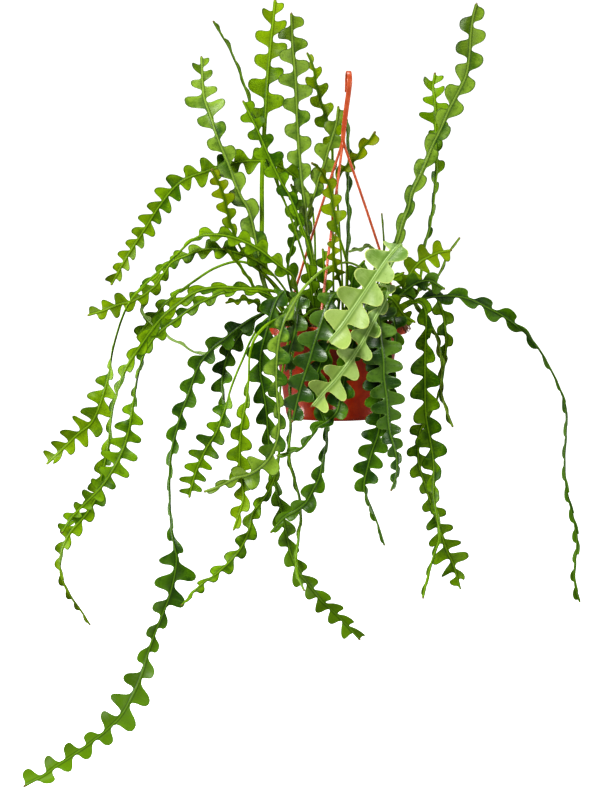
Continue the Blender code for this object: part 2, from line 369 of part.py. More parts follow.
COLOURS = {
    "pot_plastic": ((0.48, 0.10, 0.035), 0.3),
    "soil": ((0.035, 0.022, 0.014), 0.95),
    "stem_dark": ((0.02, 0.10, 0.008), 0.4),
    "stem_mid": ((0.07, 0.20, 0.012), 0.4),
    "stem_bright": ((0.15, 0.32, 0.015), 0.4),
    "stem_olive": ((0.16, 0.22, 0.008), 0.45),
    "stem_grey": ((0.11, 0.23, 0.045), 0.4),
    "stem_pale": ((0.31, 0.50, 0.11), 0.45),
}


def plastic(name):
    """A Principled material with the part's colour and roughness."""
    colour, roughness = COLOURS[name]
    material = bpy.data.materials.get(name) or bpy.data.materials.new(name)
    material.use_nodes = True
    shader = material.node_tree.nodes["Principled BSDF"]
    shader.inputs["Base Color"].default_value = (*colour, 1)
    shader.inputs["Roughness"].default_value = roughness
    material.diffuse_color = (*colour, 1)
    return material


def add_mesh(name, vertices, faces, material, collection):
    mesh = bpy.data.meshes.new(name)
    mesh.from_pydata([tuple(vertex) for vertex in vertices], [], faces)
    mesh.materials.append(material)
    thing = bpy.data.objects.new(name, mesh)
    collection.objects.link(thing)
    return thing


def turned(name, profile, steps, material, collection):
    """A shape turned about the pot's axis, from a profile that runs down its outer side."""
    points = [(radius, 0, height) for radius, height in profile]
    edges = [(i, i + 1) for i in range(len(points) - 1)]
    mesh = bpy.data.meshes.new(name)
    mesh.from_pydata(points, edges, [])
    mesh.materials.append(material)
    thing = bpy.data.objects.new(name, mesh)
    collection.objects.link(thing)
    screw = thing.modifiers.new("turn", "SCREW")
    screw.steps = steps
    screw.render_steps = steps
    screw.use_merge_vertices = True
    screw.merge_threshold = 1e-5
    screw.use_smooth_shade = True
    return thing


def prisms(name, places, radius, top, bottom, sides, collection):
    """Upright prisms of one size in one mesh, used as cutters or as round pieces."""
    builder = bmesh.new()
    for place in places:
        middle = Matrix.Translation((place[0], place[1], (top + bottom) / 2))
        bmesh.ops.create_cone(builder, cap_ends=True, segments=sides, radius1=radius, radius2=radius,
                              depth=top - bottom, matrix=middle)
    mesh = bpy.data.meshes.new(name)
    builder.to_mesh(mesh)
    builder.free()
    thing = bpy.data.objects.new(name, mesh)
    collection.objects.link(thing)
    return thing


def cut(thing, cutter):
    """Take a cutter's shape out of a thing, and keep the cutter itself out of the renders."""
    difference = thing.modifiers.new("holes", "BOOLEAN")
    difference.operation = "DIFFERENCE"
    difference.object = cutter
    cutter.hide_render = True
    cutter.display_type = "WIRE"


def clip_place(name):
    """Where a strand passes through the rim's ledge; angles run from the front towards +X."""
    angle = math.radians(STRAND_ANGLES[name])
    return Vector((math.sin(angle), -math.cos(angle), 0)) * STRAND_CIRCLE


def build_pot(parts, cutters):
    """The pot: a tapered wall, a ledge and a skirt at the rim, a round bottom edge and a pierced floor."""
    floor_top = BASE_HEIGHT + WALL
    arc = [(BASE_RADIUS - BASE_ROUND * (1 - math.cos(a)), BASE_HEIGHT + BASE_ROUND * (1 - math.sin(a)))
           for a in (0, math.radians(45), math.radians(90))]
    ledge_bottom = RIM_TOP - WALL
    profile = [
        (0, floor_top), (BASE_RADIUS - BASE_ROUND, floor_top), (BASE_RADIUS - WALL, floor_top + BASE_ROUND),
        (WALL_TOP_RADIUS - WALL, ledge_bottom), (WALL_TOP_RADIUS - WALL, RIM_TOP),
        (RIM_RADIUS - 0.8 * MM, RIM_TOP), (RIM_RADIUS, RIM_TOP - 0.8 * MM),
        (RIM_RADIUS - 0.6 * MM, RIM_BOTTOM), (RIM_RADIUS - WALL, RIM_BOTTOM),
        (RIM_RADIUS - WALL, ledge_bottom), (WALL_TOP_RADIUS, ledge_bottom),
        *arc, (0, BASE_HEIGHT)]
    pot = turned("pot", profile, POT_STEPS, plastic("pot_plastic"), parts)
    clips = [clip_place(name) for name in STRAND_ANGLES]
    cut(pot, prisms("clip_holes", clips, CLIP_HOLE, RIM_TOP + WALL, ledge_bottom - WALL / 2, 12, cutters))
    angles = [math.tau * (i + 0.5) / DRAIN_HOLES for i in range(DRAIN_HOLES)]
    drains = [(DRAIN_CIRCLE * math.cos(angle), DRAIN_CIRCLE * math.sin(angle)) for angle in angles]
    cut(pot, prisms("drain_holes", drains, DRAIN_RADIUS, floor_top + WALL, BASE_HEIGHT - WALL, 12, cutters))


def build_soil(parts, cutters):
    """The soil fills the pot, with one plain hole for each stem's foot."""
    floor = BASE_HEIGHT + WALL + GAP
    inside = WALL_TOP_RADIUS - WALL - 2 * GAP
    lower = BASE_RADIUS - BASE_ROUND - 2 * GAP
    profile = [(0, SOIL_CROWN), (0.4 * inside, SOIL_CROWN - 0.6 * MM), (0.75 * inside, SOIL_CROWN - 2 * MM),
               (inside - 1.4 * MM, SOIL_EDGE), (lower, floor), (0, floor)]
    soil = turned("soil", profile, 32, plastic("soil"), parts)
    roots = [(stem["root"][0] * MM, stem["root"][1] * MM) for stem in STEMS.values()]
    bottom = SOIL_EDGE - STEM_HOLE_FLOOR
    cut(soil, prisms("stem_holes", roots, STEM_HOLE, SOIL_CROWN + 3 * MM, bottom, 4, cutters))


def tube(name, route, radius, collection):
    """A round strand along a route, as a closed mesh."""
    curve = bpy.data.curves.new(name, "CURVE")
    curve.dimensions = "3D"
    curve.bevel_depth = radius
    curve.bevel_resolution = 2
    curve.use_fill_caps = True
    spline = curve.splines.new("POLY")
    spline.points.add(len(route) - 1)
    for point, place in zip(spline.points, route):
        point.co = (*place, 1)
    holder = bpy.data.objects.new(name, curve)
    collection.objects.link(holder)
    evaluated = holder.evaluated_get(bpy.context.evaluated_depsgraph_get())
    mesh = bpy.data.meshes.new_from_object(evaluated)
    bpy.data.objects.remove(holder)
    builder = bmesh.new()
    builder.from_mesh(mesh)
    bmesh.ops.remove_doubles(builder, verts=builder.verts, dist=1e-6)
    bmesh.ops.recalc_face_normals(builder, faces=builder.faces)
    builder.to_mesh(mesh)
    builder.free()
    thing = bpy.data.objects.new(name, mesh)
    collection.objects.link(thing)
    return thing


def strap_route():
    """The strap's middle line: up from the neck, then round the hook's bend and down its short leg."""
    rise = [Vector((7.0, 0, 194)) * MM, NECK, Vector((8.6, 0, 216)) * MM, Vector((11.2, 0, 235)) * MM,
            HOOK_FOOT]
    outward = Vector((-math.sin(HOOK_TURN), math.cos(HOOK_TURN), 0))
    bend = []
    for i in range(1, 11):
        angle = math.pi * i / 10
        lift = Vector((0, 0, HOOK_RADIUS * math.sin(angle)))
        bend.append(HOOK_CENTRE - outward * HOOK_RADIUS * math.cos(angle) + lift)
    tip = bend[-1] - Vector((0, 0, HOOK_LEG)) + outward * 1.5 * MM
    return rise + bend + [tip]


def build_strap(collection):
    """The flat strap, as a box section carried along its middle line."""
    route = strap_route()
    across = Vector((math.cos(HOOK_TURN), math.sin(HOOK_TURN), 0)) * STRAP_WIDTH / 2
    vertices = []
    for i, place in enumerate(route):
        along = (route[min(i + 1, len(route) - 1)] - route[max(i - 1, 0)]).normalized()
        through = along.cross(across).normalized() * STRAP_THICKNESS / 2
        vertices += [place + across + through, place - across + through, place - across - through,
                     place + across - through]
    faces = [(0, 1, 2, 3), tuple(len(vertices) - 4 + k for k in (3, 2, 1, 0))]
    for i in range(len(route) - 1):
        for k in range(4):
            a, b = 4 * i + k, 4 * i + (k + 1) % 4
            faces.append((a, a + 4, b + 4, b))
    thing = add_mesh("strap", vertices, faces, plastic("pot_plastic"), collection)
    builder = bmesh.new()
    builder.from_mesh(thing.data)
    bmesh.ops.recalc_face_normals(builder, faces=builder.faces)
    builder.to_mesh(thing.data)
    builder.free()
    return thing


def build_hanger(parts, cutters):
    """The hanger: the strap with its hook, three strands and the round clip at each strand's lower end."""
    hanger = build_strap(parts)
    hanger.name = "hanger"
    joined = bpy.data.collections.new("hanger_pieces")
    cutters.children.link(joined)
    clip_top = RIM_TOP - WALL - GAP
    for name in STRAND_ANGLES:
        foot = clip_place(name)
        head = Vector((7.0, 0.0, 196.0)) * MM
        entry = foot + Vector((0, 0, RIM_TOP + 4 * MM))
        route = [head + (entry - head) * t for t in (0, 0.25, 0.5, 0.75, 0.97)]
        sideways = Vector((foot.x, foot.y, 0)).normalized()
        route = [p + sideways * 1.5 * MM * math.sin(math.pi * i / 4) for i, p in enumerate(route)]
        route += [foot + Vector((0, 0, RIM_TOP + 1 * MM)), foot + Vector((0, 0, clip_top - 1.0 * MM))]
        tube("strand", route, STRAND_RADIUS, joined)
    clips = [clip_place(name) for name in STRAND_ANGLES]
    prisms("clips", clips, CLIP_RADIUS, clip_top, clip_top - CLIP_THICKNESS, 10, joined)
    union = hanger.modifiers.new("join", "BOOLEAN")
    union.operation = "UNION"
    union.operand_type = "COLLECTION"
    union.collection = joined
    bpy.context.view_layer.update()
    evaluated = hanger.evaluated_get(bpy.context.evaluated_depsgraph_get())
    mesh = bpy.data.meshes.new_from_object(evaluated)
    hanger.modifiers.clear()
    hanger.data = mesh
    for piece in list(joined.objects):
        bpy.data.objects.remove(piece)
    bpy.data.collections.remove(joined)


def laid_out(side, depth, up):
    """The true place of a point that a viewer at EYE sees at (side, up) on the pot's middle plane."""
    share = 1 + depth / 3000
    return Vector((EYE.x + (side * MM - EYE.x) * share, depth * MM, EYE.z + (up * MM - EYE.z) * share))


def smooth_line(points):
    """Places and turns at even short steps along a smooth curve through a stem's points."""
    places = [Vector(p[:3]) for p in points]
    turns = [p[3] for p in points]
    count = len(places)
    slopes = []
    for i in range(count):
        before, after = places[max(i - 1, 0)], places[min(i + 1, count - 1)]
        slopes.append((after - before).normalized())
    line, spins = [], []
    for i in range(count - 1):
        span = (places[i + 1] - places[i]).length
        pieces = max(2, round(span / SAMPLE_STEP))
        handle = span / 3
        stretch = interpolate_bezier(places[i], places[i] + slopes[i] * handle,
                                     places[i + 1] - slopes[i + 1] * handle, places[i + 1], pieces + 1)
        for k in range(pieces):
            line.append(Vector(stretch[k]))
            spins.append(turns[i] + (turns[i + 1] - turns[i]) * k / pieces)
    line.append(places[-1])
    spins.append(turns[-1])
    return line, spins


class Spine:
    """A stem's middle line, with the direction across the blade at every point."""

    def __init__(self, root, route, bends):
        x, y = root[0] * MM, root[1] * MM
        heights = (SOIL_EDGE - STEM_DEPTH, SOIL_EDGE - STEM_DEPTH / 2, SOIL_CROWN, SOIL_CROWN + 4 * MM)
        foot = [(x, y, height) for height in heights]
        first_turn = route[0][3]
        points = [(*place, first_turn) for place in foot]
        points += [(*laid_out(side, depth, up), turn) for side, depth, up, turn in route]
        self.line, self.spins = smooth_line(points)
        self.bends = bends
        self.reach = [0.0]
        for a, b in zip(self.line, self.line[1:]):
            self.reach.append(self.reach[-1] + (b - a).length)
        self.length = self.reach[-1]

    def at(self, distance):
        """The place and the direction across the blade at a distance from the foot."""
        i = min(bisect.bisect_right(self.reach, distance), len(self.reach) - 1) - 1
        share = min(1.0, (distance - self.reach[i]) / (self.reach[i + 1] - self.reach[i]))
        place = self.line[i].lerp(self.line[i + 1], share)
        spin = math.radians(self.spins[i] + (self.spins[i + 1] - self.spins[i]) * share)
        along = (self.line[min(i + 2, len(self.line) - 1)] - self.line[max(i - 1, 0)]).normalized()
        if self.bends == "front":
            across = (Vector((1, 0, 0)) - along * along.x).normalized()
        else:
            across = along.cross((Vector((0, -1, 0)) + along * along.y).normalized())
        return place, Matrix.Rotation(spin, 3, along) @ across


def width_along(halves, share):
    """The blade's half width at a share of its lobed length, between the widths in the table."""
    place = min(max(share, 0.0), 1.0) * (len(halves) - 1)
    i = min(int(place), len(halves) - 2)
    return (halves[i] + (halves[i + 1] - halves[i]) * (place - i)) * MM


class Lobing:
    """Where a stem's lobes stand along it, and how wide the band between them is."""

    def __init__(self, stem, length):
        self.start = stem["stalk"] * MM
        self.length = length
        self.pitches = stem["pitch"]
        self.core = stem.get("core", CORE)
        self.count = max(2, round((length - self.start) / (sum(self.pitches) / 2 * MM) - 0.5))

    def place(self, number):
        """How far along the stem a lobe begins; the right edge counts its lobes from 0.5."""
        first, last = self.pitches
        share = number / (self.count + 0.5)
        grown = share * (2 * first + (last - first) * share) / (first + last)
        return self.start + (self.length - self.start) * grown

    def core_at(self, distance):
        first, last = self.core
        return (first + (last - first) * distance / self.length) * MM


def edge_points(lobing, halves, shift):
    """One edge of the blade, as (distance, width) pairs from the foot to the tip."""
    start, end = lobing.start, lobing.length
    points = [(0.0, STALK_HALF_WIDTH), (FOOT_LENGTH, STALK_HALF_WIDTH)]
    bare = start - FOOT_LENGTH
    steps = max(1, round(bare / STALK_STEP))
    stalk = [FOOT_LENGTH + bare * i / steps for i in range(1, steps)]
    if shift:
        stalk.append(start)
    points += [(distance, lobing.core_at(distance)) for distance in stalk]
    for number in range(lobing.count):
        foot = lobing.place(number + shift)
        pitch = lobing.place(number + shift + 1) - foot
        size = width_along(halves, (foot + 0.7 * pitch - start) / (end - start))
        size *= 1 + UNEVEN * math.sin(2.4 * number + 4 * shift)
        lobe = LOBE if size > LARGE else MIDDLE_LOBE if size > MIDDLE else TWIG_LOBE
        for share, width in lobe:
            distance = foot + share * pitch
            points.append((distance, max(width * size, lobing.core_at(distance))))
    points.append((lobing.place(lobing.count + shift), STALK_HALF_WIDTH * 0.6))
    if not shift:
        points.append((end, STALK_HALF_WIDTH * 0.4))
    return points


def build_stem(name, stem, collection):
    """A flat blade with alternate lobes along both edges, on a slender stalk that stands in the soil."""
    spine = Spine(stem["root"], stem["route"], stem.get("bends", "side"))
    lobing = Lobing(stem, spine.length)
    sides = [edge_points(lobing, stem["half"], shift) for shift in (0.0, 0.5)]
    vertices, flat, rows = [], [], []
    for sign, edge in zip((-1, 1), sides):
        rows.append([])
        for distance, width in edge:
            place, across = spine.at(distance)
            rows[-1].append(len(vertices))
            vertices.append(place + across * width * sign)
            flat.append(Vector((distance, width * sign)))
    faces = []
    i = j = 0
    left, right = rows
    while i < len(left) - 1 or j < len(right) - 1:
        step_left = (flat[left[i + 1]] - flat[right[j]]).length if i < len(left) - 1 else math.inf
        step_right = (flat[right[j + 1]] - flat[left[i]]).length if j < len(right) - 1 else math.inf
        if step_left <= step_right:
            faces.append((left[i], right[j], left[i + 1]))
            i += 1
        else:
            faces.append((left[i], right[j], right[j + 1]))
            j += 1
    blade = add_mesh(name, vertices, faces, plastic("stem_" + stem["tone"]), collection)
    thickness = blade.modifiers.new("thickness", "SOLIDIFY")
    thickness.thickness = BLADE_THICKNESS
    thickness.offset = 0


def main():
    for thing in list(bpy.data.objects):
        bpy.data.objects.remove(thing)
    parts = bpy.data.collections.new("hanging_cactus")
    cutters = bpy.data.collections.new("cutters")
    bpy.context.scene.collection.children.link(parts)
    bpy.context.scene.collection.children.link(cutters)
    build_pot(parts, cutters)
    build_soil(parts, cutters)
    build_hanger(parts, cutters)
    for name, stem in STEMS.items():
        build_stem(name, stem, parts)
    frame = bpy.data.objects.new("hook_point", None)
    bpy.context.scene.collection.objects.link(frame)
    for thing in list(parts.objects) + list(cutters.objects):
        thing.parent = frame
    frame.location = -ORIGIN


main()
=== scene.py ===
# %% [markdown]
# # A fishbone cactus in a hanging pot
# The real plant has flat green stems with deep round lobes on both sides of a raised rib. They
# stand up and hang down from a glossy terracotta-coloured plastic pot, which hangs on its own
# moulded hanger. The imported model holds every piece at its true place, so each finer piece below is
# made in that same frame. The frame is loaded first.

# %% Load the imported frame
import bisect
import math
import random
import bpy
import bmesh
from mathutils import Vector, Matrix, noise
from mathutils.geometry import interpolate_bezier


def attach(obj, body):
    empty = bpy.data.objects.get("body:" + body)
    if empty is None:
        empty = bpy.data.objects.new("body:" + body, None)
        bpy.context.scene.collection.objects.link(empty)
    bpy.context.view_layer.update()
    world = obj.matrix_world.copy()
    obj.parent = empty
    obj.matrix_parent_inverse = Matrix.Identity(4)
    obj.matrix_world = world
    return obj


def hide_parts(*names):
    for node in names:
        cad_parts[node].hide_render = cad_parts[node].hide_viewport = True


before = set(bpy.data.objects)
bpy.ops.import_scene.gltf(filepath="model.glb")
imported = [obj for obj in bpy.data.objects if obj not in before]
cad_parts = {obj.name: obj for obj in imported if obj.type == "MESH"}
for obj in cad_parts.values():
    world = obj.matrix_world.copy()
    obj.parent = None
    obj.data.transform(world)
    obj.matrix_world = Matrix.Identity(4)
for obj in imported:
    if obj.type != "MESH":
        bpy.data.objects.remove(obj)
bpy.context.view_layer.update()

# %% [markdown]
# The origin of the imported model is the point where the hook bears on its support. The plant is
# easier to think of from the middle of the pot's rim, so the sizes of the pot and the hanger are
# named here from there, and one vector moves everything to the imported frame. A camera needs an eye,
# an aim and a lens. Three metres away with a long lens gives the flat, calm view of a catalogue
# picture.

# %% Sizes of the pot and the hanger
MM = 0.001
RIM_RADIUS = 75 * MM
RIM_TOP = 5 * MM
RIM_BOTTOM = -5 * MM
WALL_TOP_RADIUS = 67 * MM
BASE_RADIUS = 52 * MM
BASE_HEIGHT = -94 * MM
WALL = 1.8 * MM
DRAINS = 4
DRAIN_CIRCLE = 30 * MM
DRAIN_RADIUS = 4 * MM
SOIL_EDGE = -4 * MM
SOIL_CROWN = 0 * MM
STEM_DEPTH = 16 * MM
FOOT_LENGTH = SOIL_CROWN - SOIL_EDGE + STEM_DEPTH
STRAND_CIRCLE = 70.5 * MM
STRAND_RADIUS = 1.4 * MM
STRAND_ANGLES = {"front": -14, "right": 106, "left": -134}
STRAND_HEAD = Vector((7.0, 0.0, 196.0)) * MM
CLIP_RADIUS = 2.3 * MM
CLIP_THICKNESS = 2.0 * MM
GAP = 0.3 * MM
STRAP_WIDTH = 5.3 * MM
STRAP_THICKNESS = 2.8 * MM
STRAP_CORNER = 0.7 * MM
HOOK_FOOT = Vector((14.0, 0.0, 257.0)) * MM
HOOK_RADIUS = 11.5 * MM
HOOK_TURN = math.radians(5)
HOOK_LEG = 9 * MM
HOOK_CENTRE = HOOK_FOOT + HOOK_RADIUS * Vector((-math.sin(HOOK_TURN), math.cos(HOOK_TURN), 0))
RIM_CENTRE = -(HOOK_CENTRE + Vector((0, 0, HOOK_RADIUS - STRAP_THICKNESS / 2)))
print("the rim's centre in the packed frame", [round(c, 4) for c in RIM_CENTRE])

# %% Camera
def placed(name, data):
    """A new object in the scene that shows a mesh, a lamp or a camera."""
    thing = bpy.data.objects.new(name, data)
    bpy.context.scene.collection.objects.link(thing)
    return thing


def looking(eye, target):
    """The rotation that makes a camera or a lamp look from one place to another."""
    return (Vector(target) - Vector(eye)).to_track_quat("-Z", "Y").to_euler()


EYE_DISTANCE = 3000
EYE = Vector((-38.0, -EYE_DISTANCE, 186.4)) * MM
AIM = Vector((-38.0, 0.0, -76.0)) * MM
LENS = 128.3
FILM_WIDTH = 36
FARTHEST = 60
camera = placed("camera", bpy.data.cameras.new("camera"))
camera.location = EYE + RIM_CENTRE
camera.rotation_euler = looking(EYE, AIM)
camera.data.lens = LENS
camera.data.sensor_width = FILM_WIDTH
camera.data.clip_end = FARTHEST
bpy.context.scene.camera = camera
print("the camera stands at", [round(c, 3) for c in camera.location])

# %% [markdown]
# A studio for a plant is mostly white. A large soft lamp in front, high at the left, does most of
# the work and draws the sheen on the stems. Two weaker ones in front, at the right and below, open
# the shadows, and one above lights the tops. Tall narrow lamps at both sides put the long
# highlights on the pot's plastic. The world adds a little white light from all round, but the eye
# sees it pure white. The floor lies a little below the longest stem and glows as white as the
# world, so no horizon shows behind the plant. The picture is shown with a little more contrast than
# the plain view has, which keeps the dark stems dark.

# %% Light and floor
LAMPS = {
    "lamp_front": dict(place=(-1.2, -2.1, 1.6), width=0.7, height=0.7, power=82),
    "lamp_fill": dict(place=(1.3, -2.0, 0.7), width=0.8, height=0.8, power=15, target=(0.1, 0, -0.1)),
    "lamp_low": dict(place=(0.2, -2.0, -1.3), width=0.9, height=0.7, power=12, target=(0, 0, -0.3)),
    "lamp_left": dict(place=(-1.5, -0.1, -0.2), width=0.22, height=1.3, power=12),
    "lamp_left_back": dict(place=(-1.5, 0.4, -0.1), width=0.35, height=1.5, power=18),
    "lamp_right": dict(place=(1.5, 0.2, -0.1), width=0.4, height=1.5, power=20),
    "lamp_top": dict(place=(-0.3, 0.3, 2.0), width=0.9, height=0.7, power=24),
}
WORLD_LIGHT = 0.17
WORLD_SEEN = 1.0
FLOOR_HEIGHT = -0.83
FLOOR_REACH = 12
WHITE = (1, 1, 1, 1)


def soft_lamp(name, place, width, height, power, target=(0, 0, -0.1)):
    """A rectangular area lamp that looks at a target; both in metres from the rim's middle."""
    lamp = bpy.data.lights.new(name, "AREA")
    lamp.shape = "RECTANGLE"
    lamp.size = width
    lamp.size_y = height
    lamp.energy = power
    holder = placed(name, lamp)
    holder.location = Vector(place) + RIM_CENTRE
    holder.rotation_euler = looking(place, target)


bpy.context.scene.view_settings.view_transform = "Standard"
bpy.context.scene.view_settings.look = "Medium High Contrast"
world = bpy.data.worlds.new("studio")
bpy.context.scene.world = world
world.use_nodes = True
sky = world.node_tree
seen = sky.nodes.new("ShaderNodeLightPath").outputs["Is Camera Ray"]
strength = sky.nodes.new("ShaderNodeMapRange")
sky.links.new(seen, strength.inputs["Value"])
strength.inputs["To Min"].default_value = WORLD_LIGHT
strength.inputs["To Max"].default_value = WORLD_SEEN
sky.nodes["Background"].inputs["Color"].default_value = WHITE
sky.links.new(strength.outputs["Result"], sky.nodes["Background"].inputs["Strength"])
for name, facts in LAMPS.items():
    soft_lamp(name, **facts)

floor_mesh = bpy.data.meshes.new("floor")
corners = [(FLOOR_REACH * x, FLOOR_REACH * y, FLOOR_HEIGHT)
           for x, y in ((-1, -1), (1, -1), (1, 1), (-1, 1))]
floor_mesh.from_pydata(corners, [], [(0, 1, 2, 3)])
floor = placed("floor", floor_mesh)
floor_paint = bpy.data.materials.new("floor_paint")
floor_paint.use_nodes = True
paint = floor_paint.node_tree.nodes["Principled BSDF"]
paint.inputs["Base Color"].default_value = (0.92, 0.92, 0.92, 1)
paint.inputs["Roughness"].default_value = 0.8
paint.inputs["Emission Color"].default_value = WHITE
paint.inputs["Emission Strength"].default_value = WORLD_SEEN
floor_mesh.materials.append(floor_paint)
floor.visible_diffuse = False
floor.visible_glossy = False
floor.visible_shadow = False
print("lamps", len(LAMPS))

# %% [markdown]
# Materials come next, and helpers keep the node code short. One adds a node with its inputs filled
# in, one opens a new shader node group with named sockets, and a few small ones add, multiply and
# blend in whichever tree their inputs belong to. Two effects are shared. The first is fine grain,
# which plastic, leaf skin and peat all need at their own scales, as a soft bump and a slight change
# of roughness. The second is the green skin of a stem, which every tone of green uses with its own
# colours.

# %% Helpers for nodes
COLOUR_MIX_INPUTS = (0, 6, 7)
COLOUR_MIX_OUTPUT = 2


def is_linked(value):
    """Whether a value comes from another node, rather than being a plain number or colour."""
    return isinstance(value, bpy.types.NodeSocket)


def fill(socket, value):
    """Link another node's output to a socket, or write a plain value into it."""
    if is_linked(value):
        socket.id_data.links.new(value, socket)
    else:
        socket.default_value = value


def node(tree, kind, **values):
    """Add a node; values that name an input fill it, others set the node's own settings."""
    made = tree.nodes.new(kind)
    for key, value in values.items():
        name = key.replace("_", " ")
        if hasattr(made, key) and name not in made.inputs:
            setattr(made, key, value)
        else:
            fill(made.inputs[name], value)
    return made


def new_group(name, inputs, outputs):
    """A shader node group; each input comes with its usual value, and each output with its kind."""
    group = bpy.data.node_groups.new(name, "ShaderNodeTree")
    for label, usual in inputs.items():
        kind = "NodeSocketColor" if isinstance(usual, tuple) else "NodeSocketFloat"
        group.interface.new_socket(label, in_out="INPUT", socket_type=kind).default_value = usual
    for label, kind in outputs.items():
        group.interface.new_socket(label, in_out="OUTPUT", socket_type="NodeSocket" + kind)
    return group, node(group, "NodeGroupInput").outputs, node(group, "NodeGroupOutput").inputs


def maths(operation, first, second):
    """One Math node, in the tree that its linked value comes from."""
    tree = first.id_data if is_linked(first) else second.id_data
    made = node(tree, "ShaderNodeMath", operation=operation)
    fill(made.inputs[0], first)
    fill(made.inputs[1], second)
    return made.outputs[0]


def plus(first, second):
    """The sum of two values."""
    return maths("ADD", first, second)


def times(first, *others):
    """The product of two or more values."""
    for other in others:
        first = maths("MULTIPLY", first, other)
    return first


def rise(value, start, end):
    """A value that runs smoothly from 0 at start to 1 at end."""
    made = node(value.id_data, "ShaderNodeMapRange", interpolation_type="SMOOTHSTEP", Value=value,
                From_Min=start, From_Max=end)
    return made.outputs["Result"]


def fall(value, start, end):
    """A value that runs smoothly from 1 at start to 0 at end."""
    return maths("SUBTRACT", 1.0, rise(value, start, end))


def clouds(place, scale, detail):
    """Soft noise between 0 and 1, the finer the higher its scale."""
    made = node(place.id_data, "ShaderNodeTexNoise", Vector=place, Scale=scale, Detail=detail)
    return made.outputs[0]


def layered(under, mask, over):
    """A colour with another laid over it, as far as the mask lets it through."""
    made = node(mask.id_data, "ShaderNodeMix", data_type="RGBA")
    for number, value in zip(COLOUR_MIX_INPUTS, (mask, under, over)):
        fill(made.inputs[number], value)
    return made.outputs[COLOUR_MIX_OUTPUT]


print("node helpers ready")

# %% Shared effect: fine grain
COARSE_SHARE = 0.08
FINE_AMOUNT = 0.5
grain, taken, given = new_group(
    "fine_grain", {"Scale": 900.0, "Roughness": 0.4, "Spread": 0.1, "Strength": 0.1, "Depth": 0.0002},
    {"Roughness": "Float", "Normal": "Vector", "Mask": "Float"})
place = node(grain, "ShaderNodeTexCoord").outputs["Object"]
fine = clouds(place, taken["Scale"], 4.0)
coarse = clouds(place, times(taken["Scale"], COARSE_SHARE), 3.0)
spread = times(maths("SUBTRACT", coarse, 0.5), taken["Spread"])
bump = node(grain, "ShaderNodeBump", Strength=taken["Strength"], Distance=taken["Depth"],
            Height=plus(times(fine, FINE_AMOUNT), coarse))
fill(given["Roughness"], plus(taken["Roughness"], spread))
fill(given["Normal"], bump.outputs[0])
fill(given["Mask"], coarse)
print("group", grain.name, "with", len(grain.nodes), "nodes")

# %% [markdown]
# A stem's skin isn't one green. The rib along the middle is a smooth line of its own colour, with a
# thin dark line in it on some stems, and a painted shade in the stalk's dark green lies in the
# creases on both sides of it. The blade between the rib and the edge has soft patches, dark mottles
# and fine pale flecks, and faint veins run outwards from the rib. It is darker towards the root, and
# near the rib a painted shade darkens it. The very edge is a thin line, and the growing end is
# lighter or yellower than the rest; on the deep green that colour is a painted shade that darkens the
# hanging end instead. The mesh of a stem carries two attributes for this. "skin" holds distances in
# metres: X along the stem, Y from the rib and Z from the edge. "growth" holds shares: X how young the
# stem is there, and on the deep green how far its painted shade has come, with more than 1 at its dry
# tip, Y a small tone of each lobe's own, and Z how far the blade has grown out of its stalk. The
# colours lie over each other like coats of glaze: each coat below names its colour, then the share of
# it at every place. Rise and fall give the two values between which a share grows from nothing or dies
# away.

# %% Shared effect: stem skin
PATCH_SCALE, MOTTLE_SCALE, FLECK_SCALE = 70.0, 330.0, 1400.0
VEIN_SCALES = (520.0, 90.0, 1.0)
LOBE_TONE, VEIN_AMOUNT, MOTTLE_AMOUNT, FLECK_AMOUNT = 0.36, 0.45, 0.4, 0.3
RIB_SHADE_AMOUNT, ROOT_DARKENING = 0.5, 0.7
VEIN_HEIGHT = 0.7
DRY_TIP = (0.15, 0.12, 0.03, 1)
skin, taken, given = new_group(
    "stem_skin",
    {"Blade": (0.07, 0.2, 0.012, 1), "Patch": (0.12, 0.28, 0.02, 1), "Rib": (0.15, 0.32, 0.03, 1),
     "Edge": (0.2, 0.3, 0.03, 1), "Young_and_shade": (0.2, 0.26, 0.01, 1), "Stalk": (0.06, 0.12, 0.01, 1),
     "Rib Amount": 0.8, "Rib Width": 0.9 * MM, "Rib Line": 0.0, "Edge Amount": 0.6, "Inner Shade": 0.4},
    {"Colour": "Color", "Height": "Float"})
skin_place = node(skin, "ShaderNodeAttribute", attribute_name="skin").outputs["Vector"]
growth = node(skin, "ShaderNodeAttribute", attribute_name="growth").outputs["Vector"]
along, across, from_edge = node(skin, "ShaderNodeSeparateXYZ", Vector=skin_place).outputs
youth_and_shade, own_tone, leafy = node(skin, "ShaderNodeSeparateXYZ", Vector=growth).outputs
from_rib = maths("ABSOLUTE", across, 0.0)
width = plus(from_rib, from_edge)
outward = maths("DIVIDE", from_rib, plus(width, 0.1 * MM))
rib_widths = maths("DIVIDE", from_rib, taken["Rib Width"])
place = node(skin, "ShaderNodeTexCoord").outputs["Object"]
patches = clouds(place, PATCH_SCALE, 3.0)
stretched = node(skin, "ShaderNodeMapping", Vector=skin_place, Scale=VEIN_SCALES).outputs[0]
veins = clouds(stretched, 1.0, 2.0)
